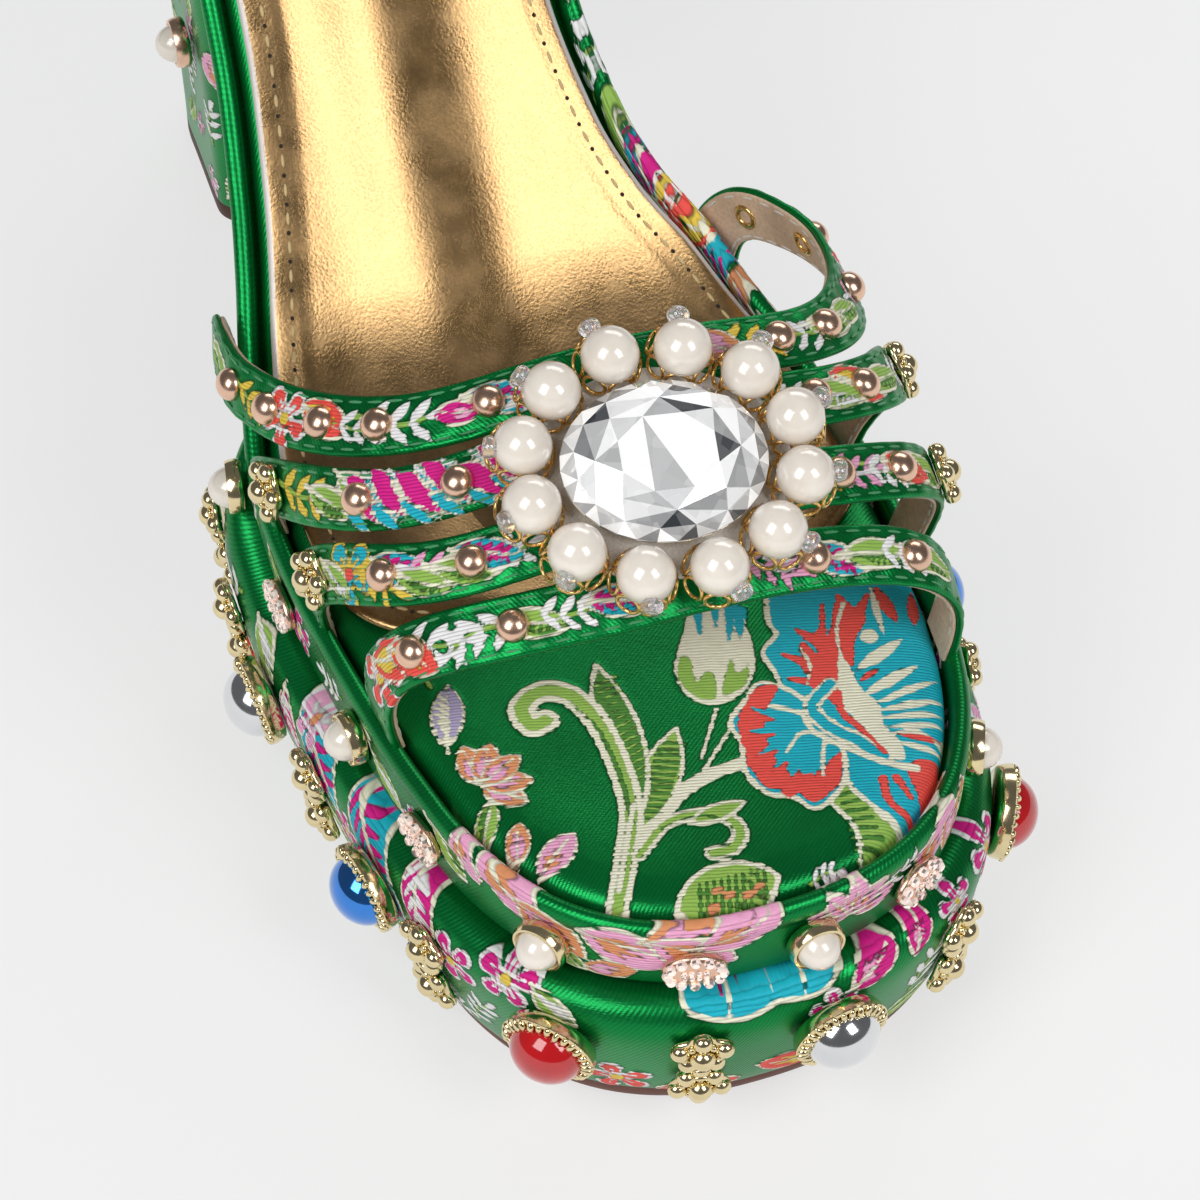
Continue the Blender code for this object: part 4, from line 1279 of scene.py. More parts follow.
def woven(u, v, motifs):
    """A chart of a cloth's points with its motifs drawn on it."""
    chart = Chart(u, v)
    for motif in motifs:
        drawn, yarns = KINDS[motif.kind]
        drawn(motif_pen(chart, motif.u, motif.v, motif.turn, motif.size), *yarns)
    return chart


# Upper tier: arc from the toe tip and height over the tier's foot
UPPER_MOTIFS = (
    Motif("pink_petal", -33.0, 11.5, -28, 1.20), Motif("orange_petal", -27.0, 8.0, -34, 1.08),
    Motif("pink_petal", -16.5, 8.6, -20, 1.25), Motif("orange_petal", -9.5, 11.6, 8, 1.08),
    Motif("pink_petal", -9.0, 8.4, -28, 1.08), Motif("orange_petal", -19.0, 3.4, 12, 0.63),
    Motif("pink_petal", -3.0, 11.4, 24, 1.08), Motif("leaf", -24.0, 3.5, -50, 0.57),
    Motif("pink_lotus", 12.0, 7.0, 80, 0.85), Motif("white_sprig", 20.5, 9.8, 20, 0.68),
    Motif("pink_petal", 27.0, 9.0, 40, 1.08), Motif("orange_petal", 32.5, 8.0, 60, 0.97),
    Motif("leaf", 39.0, 6.5, 25, 0.91), Motif("pink_sprig", 47.0, 7.6, -15, 0.91),
    Motif("magenta_blossom", 58.0, 7.0, 10, 0.91), Motif("leaf", 67.0, 7.2, -20, 0.91),
    Motif("white_sprig", 77.0, 7.0, 15, 0.91), Motif("coral_blossom", 88.0, 6.6, 0, 0.91),
    Motif("leaf", -45.0, 8.5, -35, 0.97), Motif("pink_petal", -41.0, 11.0, -50, 0.74),
    Motif("magenta_blossom", -53.0, 4.0, 20, 0.85), Motif("white_leaf", -61.0, 5.2, -24, 0.91),
    Motif("leaf", -70.0, 6.4, 30, 0.85), Motif("white_sprig", -79.0, 6.0, 190, 0.80),
    Motif("magenta_blossom", -90.0, 5.6, 5, 0.85), Motif("leaf", -99.0, 5.6, 160, 0.80),
    Motif("white_sprig", -110.0, 4.6, 180, 0.68), Motif("pink_blossom", -121.0, 3.8, 0, 0.57),
    Motif("leaf", 97.0, 9.0, 30, 0.9), Motif("white_sprig", 105.0, 8.4, -15, 0.9),
    Motif("leaf", 116.0, 7.4, 14, 1.0), Motif("teal_feather", 128.0, 7.2, -12, 0.9),
    Motif("coral_blossom", 138.0, 7.6, 0, 0.9), Motif("leaf", 147.0, 7.2, 16, 1.0),
    Motif("white_sprig", 155.0, 7.0, 20, 0.9), Motif("leaf", 163.0, 8.0, -30, 0.9),
    Motif("pink_sprig", 173.0, 7.0, 0, 0.9), Motif("white_leaf", 184.0, 7.0, 15, 0.9),
    Motif("orange_petal", 122.0, 7.6, 30, 0.7), Motif("coral_petal", 133.0, 7.6, -30, 0.7),
    Motif("teal_feather", 142.5, 7.6, 20, 0.8), Motif("orange_petal", 168.0, 7.4, 20, 0.7),
)

# Lower tier: arc from the toe tip and height over the wall's foot
LOWER_MOTIFS = (
    Motif("teal_ribbon", 0.0, 22.4, 4, 0.95), Motif("magenta_blossom", 8.0, 17.0, 0, 0.71),
    Motif("magenta_blossom", -31.0, 21.0, 0, 0.97), Motif("magenta_blossom", -39.5, 17.5, 30, 0.97),
    Motif("white_leaf", -24.5, 19.5, -35, 0.68), Motif("magenta_feather", -47.0, 20.6, -50, 1.15),
    Motif("coral_petal", -27.0, 3.2, -12, 0.85), Motif("coral_blossom", -17.5, 4.6, 10, 0.97),
    Motif("coral_petal", -8.0, 2.0, 10, 0.91), Motif("coral_petal", 4.0, 4.4, 160, 0.97),
    Motif("white_leaf", 11.5, 6.4, 20, 0.91), Motif("magenta_petal", 14.0, 20.4, 24, 0.7),
    Motif("magenta_petal", 21.0, 21.0, 60, 0.6), Motif("magenta_blossom", 27.5, 20.0, 0, 0.7),
    Motif("white_sprig", 22.0, 12.0, 60, 1.03),
    Motif("leaf", 20.0, 4.0, 10, 0.97), Motif("coral_blossom", 31.0, 10.5, 0, 0.97),
    Motif("magenta_blossom", 37.0, 19.5, 0, 1.03), Motif("leaf", 47.0, 14.0, 40, 1.03),
    Motif("pink_blossom", 57.0, 19.0, 0, 0.97), Motif("white_sprig", 50.0, 6.0, -10, 1.03),
    Motif("teal_feather", 66.0, 12.0, 60, 1.03), Motif("coral_blossom", 74.0, 20.0, 0, 0.91),
    Motif("leaf", 83.0, 9.0, -20, 1.03), Motif("magenta_blossom", 93.0, 18.0, 0, 0.91),
    Motif("white_sprig", 104.0, 10.0, 30, 0.91), Motif("leaf", 115.0, 18.0, 0, 0.91),
    Motif("white_sprig", -36.0, 8.5, 60, 0.91), Motif("magenta_blossom", -47.0, 10.5, 0, 0.91),
    Motif("teal_feather", -53.0, 15.5, -64, 0.85), Motif("leaf", -56.0, 6.0, -80, 0.80),
    Motif("teal_feather", -60.0, 20.6, -30, 1.40), Motif("magenta_blossom", -66.0, 15.0, 0, 0.85),
    Motif("teal_feather", -76.0, 20.6, -24, 1.40), Motif("pink_blossom", -80.0, 23.0, 0, 0.91),
    Motif("magenta_feather", -85.0, 17.0, -58, 0.97), Motif("leaf", -71.0, 9.0, -50, 0.97),
    Motif("white_leaf", -95.0, 22.0, -30, 0.91), Motif("white_sprig", -86.0, 8.0, 30, 0.97),
    Motif("coral_blossom", -101.0, 13.0, 0, 0.91), Motif("white_sprig", -108.0, 22.0, 200, 0.91),
    Motif("leaf", -114.0, 12.0, -20, 0.97), Motif("magenta_blossom", -122.0, 19.0, 0, 0.85),
    Motif("white_sprig", -42.0, 4.0, 10, 0.80), Motif("white_sprig", -64.0, 3.6, 0, 0.80),
)

# Heel: arc from its breast line and height over the floor
HEEL_MOTIFS = (
    Motif("white_sprig", -36.0, 30.0, 60, 1.0), Motif("pink_blossom", -46.0, 42.0, 0, 1.0),
    Motif("leaf", -30.0, 48.0, 80, 0.9), Motif("white_leaf", -52.0, 28.0, -40, 0.9),
    Motif("magenta_blossom", -34.0, 64.0, 0, 1.1), Motif("white_sprig", -48.0, 72.0, 100, 1.1),
    Motif("leaf", -60.0, 56.0, -60, 1.0), Motif("teal_feather", -42.0, 90.0, 70, 1.1),
    Motif("coral_blossom", -60.0, 92.0, 0, 1.0), Motif("pink_sprig", -38.0, 14.0, 30, 0.9),
    Motif("coral_blossom", 38.0, 86.0, 0, 1.1), Motif("leaf", 50.0, 72.0, 60, 1.0),
    Motif("white_sprig", 38.0, 60.0, 110, 1.0), Motif("magenta_blossom", 50.0, 48.0, 0, 1.0),
    Motif("teal_feather", 36.0, 36.0, 80, 1.0), Motif("pink_blossom", 48.0, 22.0, 0, 0.9),
    Motif("leaf", 62.0, 94.0, 120, 1.0), Motif("white_leaf", 62.0, 34.0, 100, 0.9),
    Motif("leaf", -68.0, 76.0, 100, 1.0), Motif("pink_blossom", -66.0, 40.0, 0, 0.9),
    Motif("magenta_feather", 66.0, 64.0, 90, 1.0), Motif("white_sprig", 0.0, 70.0, 90, 1.0),
    Motif("coral_blossom", 6.0, 40.0, 0, 1.0), Motif("leaf", -8.0, 22.0, 70, 0.9),
    Motif("white_sprig", -27.0, 22.0, 80, 1.0), Motif("pink_petal", -24.0, 36.0, 100, 0.8),
    Motif("white_sprig", -42.0, 22.0, 80, 1.0), Motif("leaf", -46.0, 12.0, 40, 1.0),
    Motif("pink_sprig", -33.0, 40.0, 60, 0.9), Motif("white_sprig", -41.0, 50.0, 110, 1.0),
    Motif("white_leaf", -22.0, 10.0, 60, 0.9), Motif("pink_blossom", -30.0, 6.0, 0, 0.8),
)

# Straps: number, motif, angle up from the left foot in degrees, place across, turn and size
StrapMotif = namedtuple("StrapMotif", "strap kind angle across turn size")
STRAP_MOTIFS = (
    StrapMotif(0, "coral_blossom", 40.0, 0.4, 0, 1.02), StrapMotif(0, "coral_petal", 47.0, -0.6, 20, 0.84),
    StrapMotif(0, "yellow_sprig", 33.0, 0.2, 10, 0.84), StrapMotif(0, "white_sprig", 59.0, 0.0, 0, 1.20),
    StrapMotif(0, "magenta_petal", 68.5, 0.2, 190, 0.55), StrapMotif(0, "white_sprig", 53.0, 0.5, 0, 0.84),
    StrapMotif(0, "yellow_sprig", 110.0, 0.0, 0, 1.08), StrapMotif(0, "white_sprig", 119.0, 0.3, 180, 0.96),
    StrapMotif(0, "leaf", 133.0, 0.0, 10, 0.84), StrapMotif(0, "coral_blossom", 149.0, 0.0, 0, 0.90),
    StrapMotif(0, "white_sprig", 164.0, 0.0, 0, 0.96), StrapMotif(0, "leaf", 22.0, 0.0, 20, 0.96),
    StrapMotif(1, "yellow_sprig", 33.0, 0.0, 0, 1.20), StrapMotif(1, "leaf", 40.0, 0.6, 20, 0.90),
    StrapMotif(1, "white_leaf", 47.0, -0.6, 30, 1.08), StrapMotif(1, "teal_bands", 57.0, 0.0, 0, 1.0),
    StrapMotif(1, "teal_bands", 67.5, 0.0, 0, 1.0), StrapMotif(1, "coral_petal", 128.0, -0.4, 30, 0.9),
    StrapMotif(1, "white_sprig", 146.0, 0.0, 0, 1.0), StrapMotif(1, "white_leaf", 121.5, 0.4, 15, 0.96),
    StrapMotif(1, "leaf", 136.0, 0.0, 0, 0.96), StrapMotif(1, "white_sprig", 111.0, 0.0, 0, 0.96),
    StrapMotif(2, "teal_blossom", 34.0, 0.0, 0, 1.08), StrapMotif(2, "yellow_sprig", 41.0, 0.6, 30, 0.96),
    StrapMotif(2, "teal_feather", 47.0, -0.5, 20, 0.84), StrapMotif(2, "pink_sprig", 53.5, 0.0, 0, 0.96),
    StrapMotif(2, "leaf", 59.5, 0.8, 15, 0.90), StrapMotif(2, "white_sprig", 67.0, 0.0, 0, 0.90),
    StrapMotif(2, "pink_sprig", 120.5, 0.0, 0, 0.96), StrapMotif(2, "leaf", 140.0, 0.2, 20, 1.02),
    StrapMotif(2, "white_sprig", 128.0, 0.4, 10, 0.84), StrapMotif(2, "leaf", 24.0, 0.0, 0, 0.96),
    StrapMotif(3, "coral_blossom", 24.0, 0.4, 0, 1.14), StrapMotif(3, "coral_petal", 32.0, -0.3, 25, 0.96),
    StrapMotif(3, "white_sprig", 45.0, 0.0, 10, 1.1),
    StrapMotif(3, "white_sprig", 55.0, 0.2, 160, 1.1), StrapMotif(3, "leaf", 66.5, 0.3, 15, 0.90),
    StrapMotif(3, "white_sprig", 72.5, 0.0, 0, 0.90), StrapMotif(3, "teal_feather", 82.0, 0.0, 10, 0.84),
    StrapMotif(3, "pink_sprig", 110.0, 0.0, 0, 1.02), StrapMotif(3, "teal_feather", 116.0, 0.4, 20, 0.84),
    StrapMotif(3, "leaf", 125.0, 0.0, 0, 0.96), StrapMotif(3, "white_sprig", 132.5, 0.0, 0, 0.96),
    StrapMotif(3, "leaf", 142.0, 0.0, 15, 0.90),
    StrapMotif(3, "coral_petal", 38.0, 0.6, 40, 0.8), StrapMotif(3, "pink_sprig", 104.0, 0.3, 20, 0.9),
    StrapMotif(0, "teal_feather", 76.0, 0.0, 20, 0.9), StrapMotif(0, "white_sprig", 81.5, 0.2, 170, 0.9),
    StrapMotif(0, "orange_petal", 104.5, 0.0, 30, 0.8), StrapMotif(0, "leaf", 126.0, 0.2, 15, 0.9),
    StrapMotif(0, "pink_sprig", 141.0, 0.0, 0, 0.9), StrapMotif(0, "white_leaf", 157.0, 0.0, 20, 0.8),
    StrapMotif(2, "white_leaf", 30.0, 0.8, 40, 0.8), StrapMotif(2, "leaf", 51.0, 1.4, 20, 0.8),
    StrapMotif(2, "teal_feather", 64.0, -0.6, 20, 0.8), StrapMotif(2, "coral_petal", 134.0, 0.0, 20, 0.8),
    StrapMotif(2, "yellow_sprig", 113.0, 0.0, 0, 0.9),
)


# The great flower on the footbed, sketched as it is seen from the front: x to the right, y towards the toe
SKETCH_AT = (24.8, 26.7)
SKETCH_ACROSS = (2.92, -0.98)
SKETCH_DOWN = (-1.39, -3.73)
UPPER_LOBES = ((-3.2, -5.6), (-3.5, -3.9), (-3.1, -3.2), (-3.7, -2.4), (-3.2, -1.6), (-2.6, -0.6),
               (-0.8, 1.0), (1.6, 2.0), (4.1, 1.2), (4.6, -1.0), (3.9, -3.4), (3.4, -5.6), (0.2, -6.0))
LEFT_LOBE = ((-3.8, -1.0), (-4.4, -0.3), (-5.1, 0.7), (-4.6, 1.5), (-4.4, 2.8), (-3.5, 3.7), (-2.3, 3.9),
             (-1.5, 4.4), (-0.8, 4.0), (-0.2, 3.0), (-0.6, 1.2), (-2.2, -0.4))
LOWER_LOBE = ((-0.6, 1.6), (0.0, 3.2), (0.6, 3.9), (1.7, 4.6), (3.1, 5.3), (4.4, 4.4), (4.8, 2.4),
              (3.4, 1.2), (1.2, 1.4))
LEFT_BORDER = ((-4.2, -0.7), (-3.1, -0.9), (-3.7, 0.3), (-3.6, 1.4), (-3.1, 2.4), (-2.3, 3.0), (-1.2, 2.8),
               (-0.3, 2.0), (-0.4, 3.3), (-0.9, 3.8), (-1.5, 4.2), (-2.3, 3.7), (-3.5, 3.5), (-4.3, 2.5),
               (-4.8, 0.8))
LEFT_TEETH = ((-3.9, 0.0), (-3.9, 1.0), (-3.6, 2.0), (-3.0, 2.8), (-2.2, 3.3), (-1.0, 3.3))
TOP_WEDGE = ((-1.2, -4.5), (-0.5, -5.0), (0.2, -4.4), (0.8, -3.9), (0.3, -3.0), (0.2, -1.8), (-0.3, -2.1),
             (-0.4, -0.8), (-0.2, 0.2), (-0.8, -0.3), (-1.7, -1.0), (-2.2, -2.6), (-1.3, -3.4))
TOP_TEETH = (((-2.5, -3.9), (-1.4, -2.4)), ((-2.8, -2.7), (-1.7, -1.7)), ((-0.8, -5.2), (-0.9, -3.2)),
             ((-2.7, -1.7), (-1.7, -1.2)))
TOP_SPIKES = (((-1.0, -1.6), (-2.9, -2.3)), ((-0.9, -2.6), (-2.3, -3.4)), ((0.1, -3.4), (0.9, -5.0)),
              ((-0.9, -1.0), (-2.6, -1.2)))
HEART = ((-0.4, -2.2), (0.15, -1.6), (0.55, -0.8), (1.3, -0.1), (1.6, 0.9), (2.3, 1.6), (2.4, 2.3),
         (1.6, 2.0), (0.4, 0.6), (-0.3, -0.2))
Ray = namedtuple("Ray", "yarn start end half")
RAYS = (
    Ray("cream", (0.4, -1.6), (2.4, -3.0), 0.95), Ray("cream", (0.7, -0.5), (3.1, -1.9), 0.85),
    Ray("cream", (1.2, -0.1), (4.0, -1.4), 0.5), Ray("cream", (1.4, 0.2), (4.2, -0.5), 0.5),
    Ray("cream", (1.5, 0.5), (4.3, 0.1), 0.42), Ray("cream", (1.7, 0.9), (4.3, 0.6), 0.42),
    Ray("cream", (2.2, 1.6), (4.3, 1.8), 0.45), Ray("coral", (2.1, 1.2), (4.3, 1.3), 0.5),
    Ray("coral", (0.5, -1.1), (1.4, -1.7), 0.45), Ray("coral", (1.2, -5.4), (2.2, -3.8), 0.9),
    Ray("coral", (2.9, -5.4), (3.0, -3.7), 0.7), Ray("cream", (1.0, -5.4), (1.6, -3.2), 0.4),
)
CORNER = ((2.6, 2.5), (4.2, 2.3), (4.1, 4.1), (3.2, 5.1), (3.2, 4.0))
STEM = ((-0.8, 4.0), (-0.2, 3.1), (1.2, 4.6), (2.2, 5.3), (2.0, 6.3), (0.8, 7.0), (0.4, 5.3))
BUD = ((-7.35, -3.2), (-7.7, -1.6), (-7.1, -0.5), (-5.8, -0.1), (-4.5, -0.8), (-4.15, -2.1), (-4.8, -4.1),
       (-6.0, -4.8), (-7.0, -4.3))
BUD_LEFT = ((-7.5, -2.1), (-7.5, -1.2), (-6.8, -0.45), (-5.85, -0.3), (-5.9, -1.3), (-6.3, -1.6),
            (-6.7, -1.1), (-7.0, -2.1))
BUD_RIGHT = ((-5.5, -1.2), (-5.2, -2.2), (-4.9, -1.5), (-4.4, -1.9), (-4.5, -1.0), (-5.5, -0.4))
BUD_TOP = (((-6.8, -4.5), (-6.6, -3.2)), ((-6.0, -4.8), (-5.9, -3.5)), ((-5.3, -4.6), (-5.3, -2.9)),
           ((-4.9, -4.2), (-4.8, -3.0)))


def great_flower(chart):
    """The flower with its stem, and the bud beside it."""
    pen = Pen(chart, SKETCH_AT, SKETCH_ACROSS, SKETCH_DOWN, 1.0)
    pen.area("leaf", STEM, 0.45)
    for k in range(9):
        y = 3.8 + 0.36 * k
        pen.stroke("fern", ((0.12 * k - 0.4, y + 0.1), (0.22 * k + 0.35, y - 0.1)), 0.20, 0.20)
    for outline in (UPPER_LOBES, LOWER_LOBE, LEFT_LOBE):
        pen.area("teal", outline, 0.55)
    pen.area("coral", TOP_WEDGE)
    for start, end in TOP_TEETH:
        pen.stroke("teal", (start, end), 1.1, 0.30)
    for start, end in TOP_SPIKES:
        pen.stroke("coral", (start, end), 1.1, 0.25)
    pen.area("coral", LEFT_BORDER)
    for x, y in LEFT_TEETH:
        pen.stroke("teal", ((-2.2, 1.1), (1.10 * x, 1.08 * y)), 1.7, 0.22)
        pen.stroke("coral", ((1.12 * x - 0.1, 1.0 * y + 0.45), (0.70 * x - 0.6, 0.7 * y + 0.55)), 0.95, 0.20)
    pen.area("cream", HEART)
    for ray in RAYS:
        pen.lens(ray.yarn, ray.start, ray.end, ray.half)
    pen.disc("cream", (0.95, -3.1), 1.15)
    pen.area("coral", CORNER)
    pen.stroke("coral", ((1.5, 3.2), (1.8, 4.1), (2.9, 4.7)), 0.55, 0.4)
    pen.stroke("coral", ((2.1, 3.1), (2.7, 3.8)), 0.5, 0.3)
    pen.stroke("teal", ((-0.8, -1.0), (-1.6, 0.0), (-0.8, 0.9), (0.4, 1.5), (1.5, 2.2)), 0.75, 1.0, 0.3)
    pen.stroke("coral", ((-0.4, -0.6), (-0.2, 0.3), (0.6, 1.0), (1.6, 2.0)), 0.5, 0.4)
    pen.stroke("cream", ((-3.4, 0.0), (-2.1, 0.3), (-1.5, 1.1), (-0.1, 1.8), (1.8, 2.5), (3.0, 2.6)),
               0.22, 0.5)
    pen.stroke("cream", ((-2.7, 2.0), (-2.1, 1.2), (-1.5, 1.1)), 0.16, 0.22)
    pen.stroke("cream", ((-1.1, 3.0), (-1.1, 2.1), (-1.0, 1.4)), 0.16, 0.22)
    pen.stroke("cream", ((-1.8, -1.0), (-1.7, -1.8), (-2.1, -2.6)), 0.16, 0.16)
    pen.stroke("cream", ((-0.3, -2.2), (-0.5, -3.4), (-0.2, -4.6)), 0.2, 0.16)
    pen.area("cream", BUD)
    pen.area("leaf", BUD_LEFT)
    pen.area("leaf", BUD_RIGHT)
    for start, end in BUD_TOP:
        pen.stroke("teal", (start, end), 1.05, 0.3)
    pen.stroke("cream", ((-5.8, 0.1), (-6.4, 2.2)), 0.16, 0.16)
    pen.stroke("cream", ((-5.2, 1.0), (-6.3, 2.8)), 0.18, 0.18)


def scroll(chart):
    """The curled leaf and its stems, drawn on the footbed's own (x, station)."""
    pen = Pen(chart, (0, 0), (1, 0), (0, 1), 1.0)
    pen.stroke("cream", ((-10.2, 12.0), (-4.5, 17.8), (1.0, 21.0), (8.5, 22.2)), 1.25, 0.85)
    pen.lens("leaf", (-8.2, 16.0), (1.2, 30.2), 2.5, 0.4)
    for k in range(13):
        along = 0.10 + 0.065 * k
        x, s = -8.2 + 9.4 * along, 16.0 + 14.2 * along
        pen.stroke("fern", ((x - 1.5, s + 0.4), (x + 1.6, s - 0.9)), 0.20, 0.16)
    pen.lens("fern", (-6.9, 20.0), (-5.4, 44.0), 2.7, 0.5)
    for k in range(14):
        s = 24.0 + 1.3 * k
        pen.stroke("leaf", ((-6.6, s), (-3.6, s + 0.8)), 0.26, 0.2)
    pen.stroke("leaf", ((-15.6, 5.0), (-12.4, 11.0), (-8.9, 19.0), (-7.9, 27.0), (-8.3, 35.0), (-10.4, 40.6),
                        (-14.0, 42.4), (-17.3, 40.6), (-17.0, 37.4), (-14.9, 37.4)), 0.8, 1.1, 0.75)
    pen.stroke("fern", ((-9.4, 17.0), (-8.4, 25.0), (-8.6, 33.0), (-10.8, 39.2)), 0.25, 0.2)
    pen.stroke("cream", ((-14.6, 7.2), (-11.0, 14.5), (-8.2, 20.0)), 0.34, 0.3)
    pen.stroke("leaf", ((-10.4, 11.5), (-5.4, 15.4), (-0.6, 15.7), (2.8, 13.8), (3.6, 10.8), (1.6, 8.6),
                        (-0.9, 8.7)), 0.5, 0.8, 0.4)
    pen.lens("leaf", (-2.0, 14.6), (5.6, 15.6), 1.15, 0.35)
    pen.stroke("fern", ((-6.0, 14.8), (-0.6, 15.4), (2.4, 13.4)), 0.16, 0.16)
    pen.lens("leaf", (-8.0, 2.0), (5.6, 2.6), 4.0, 0.6)
    for k in range(10):
        x = -5.6 + 1.0 * k
        pen.stroke("fern", ((x, 0.2), (x + 1.2, 4.4)), 0.2, 0.16)
    for x, s in ((-4.0, 1.0), (-1.6, 1.8), (0.8, 1.2), (-2.8, 3.0), (2.6, 2.0)):
        pen.stroke("orange", ((x, s), (x + 0.9, s)), 0.35, 0.35)


# Small flowers beside the scroll: x and station
FOOTBED_MOTIFS = (
    Motif("orange_lotus", -26.4, 30.0, 24, 0.85), Motif("lavender_leaf", -27.2, 42.6, 72, 1.0),
    Motif("pink_petal", -20.4, 15.6, 35, 0.7), Motif("orange_petal", -24.6, 19.4, 70, 0.55),
    Motif("leaf", -27.5, 24.0, 60, 0.7), Motif("white_sprig", -28.0, 52.0, 80, 0.8),
    Motif("coral_blossom", -10.0, 56.0, 0, 0.9), Motif("leaf", 4.0, 55.0, 20, 0.9),
    Motif("pink_sprig", 16.0, 58.0, 0, 0.9), Motif("leaf", 30.0, 58.0, 60, 0.9),
    Motif("pink_petal", 33.5, 11.5, 40, 0.5), Motif("white_sprig", 12.0, 1.4, 5, 0.5),
)


# Soles, platform, footbed, sock and heel

def cover(name, points, chart, way, turn=0.0):
    """A brocade cover: its motifs stand a little proud along the given directions."""
    proud = bpy.context.scene.mule_sizes.relief / MM * chart.relief()
    return smooth_shade(laid_grid(name, points + way * proud[..., None], chart.values(turn)))


def make_lower_tier(step):
    s = stations(TOE_END, PLATFORM_END, step, step, PLATFORM_END.s)
    profile = rounded(LOWER, step, LOWER_RISE)
    made = skin(TOE_END, PLATFORM_END, s, profile, lower_level, first=2, last=2)
    high = made.points[..., 2] - ground(made.points[..., 1]) - OUTSOLE_THICK - GAP
    chart = woven(made.arc, high, LOWER_MOTIFS)
    piece = cover("lower_tier", made.points, chart, facing_out(made.points))
    dress(piece, finish("brocade"), "brocade", "platform_lower")


def make_upper_tier(step):
    s = stations(TOE_END, HEEL_END, step, 2 * step, UPPER_FINE_TO)
    made = skin(TOE_END, HEEL_END, s, upper_rows(step), upper_level, first=2, last=2)
    high = made.points[..., 2] - upper_bottom(made.points[..., 1])
    chart = woven(made.arc, high, UPPER_MOTIFS)
    piece = cover("upper_tier", made.points, chart, facing_out(made.points))
    dress(piece, finish("brocade"), "brocade", "platform_upper")


def make_footbed(step):
    s = stations(TOE_END, HEEL_END, step, 6 * step, FOOTBED_FINE_TO)
    rows = int(FOOTBED_HALF / step)
    made = skin(TOE_END, HEEL_END, s, rounded(FOOTBED, step), top_level, first=1, last=rows)
    made.points[..., 2] -= PILLOW_DROP * np.clip(1 - made.inside / PILLOW_RUN, 0, 1) ** 2
    chart = woven(made.points[..., 0], made.points[..., 1], FOOTBED_MOTIFS)
    scroll(chart)
    great_flower(chart)
    piece = cover("padded_footbed", made.points, chart, np.array([0.0, 0.0, 1.0]), FOOTBED_YARN_TURN)
    dress(piece, finish("brocade"), "brocade", "footbed")


def sock_wave(x, s, inside):
    """Soft hollows and swells across the sock, from its rim inwards."""
    bent = SOCK_BEND * np.sin(s / 15.0 + 1.0)
    across = sum(row.height * np.sin((x + row.shift) / row.pitch + row.skew * s + row.bend * bent)
                 for row in SOCK_SWELLS)
    along = (0.8 + 0.2 * np.sin(s / 17.0)) * np.clip((SOCK_WAVE_END - s) / SOCK_WAVE_FADE, 0, 1)
    return across * along * np.clip((inside - SOCK_RIM) / SOCK_RIM_FADE, 0, 1)


def make_sock(step):
    s = stations(SOCK_FRONT, HEEL_END, step, step, HEEL_END.s)
    profile = rounded(SOCK, 0.35)
    made = skin(SOCK_FRONT, HEEL_END, s, profile, top_level, first=1, last=int(FOOTBED_HALF / step))
    x, y = made.points[..., 0], made.points[..., 1]
    upper_side = np.arange(len(made.points))[:, None] > 1 + len(profile) // 2
    made.points[..., 2] += np.where(upper_side, sock_wave(x, y, made.inside), 0)
    raw = np.clip((SOCK_RAW_WIDE - made.inside) / SOCK_RAW_BLUR, 0, 1)
    raw = raw * np.clip((y - SOCK_RAW_FROM) / SOCK_RAW_FADE, 0, 1)
    piece = smooth_shade(laid_grid("gold_sock", made.points, {"raw": raw}), radians(50))
    dress(piece, finish("gold_leather"), "gold_leather", "sock")
    make_sock_stitches()


def scaled_frame(along, side, up, at, size):
    return frame_matrix(along, side, up, at) @ Matrix.Diagonal((*size, 1))


def make_sock_stitches():
    """Dots of painted shade at the needle holes, and thread along the sock's edge."""
    s = stations(SOCK_FRONT, HEEL_END, 0.8, 0.8, HEEL_END.s)
    base = ring(SOCK_FRONT, HEEL_END, s)
    line = base - outward(base) * SOCK_STITCH_IN
    run = run_along(line)
    at = np.arange(2.0, run[-1] - 2.0, SOCK_STITCH_PITCH)
    x, y = (np.interp(at, run, line[:, i]) for i in (0, 1))
    z = insole_top(y) + SOCK_STITCH_RISE + sock_wave(x, y, SOCK_STITCH_IN)
    spots = np.stack([x, y, z], 1)
    holes, threads = [], []
    for here, there in zip(spots, spots[1:]):
        along = Vector(there - here).normalized()
        slope = float(insole_top(here[1] + 1) - insole_top(here[1] - 1)) / 2
        side = Vector((0, -slope, 1)).normalized().cross(along).normalized()
        up = along.cross(side)
        holes.append(scaled_frame(along, side, up, point(*here), SOCK_HOLE_SHADE))
        middle = point(*(0.5 * (here + there))) + up * 0.05 * MM
        threads.append(scaled_frame(along, side, up, middle, SOCK_THREAD))
    seed = ball(1.0, segments=8, rings=6)
    # Dark dots of painted shade where the thread goes through the leather.
    dress(spread(seed, "sock_needle_holes", holes), finish("needle_hole"), "gold_leather")
    dress(spread(seed, "sock_thread", threads), finish("gold_thread"), "gold_leather")
    drop_piece(seed)


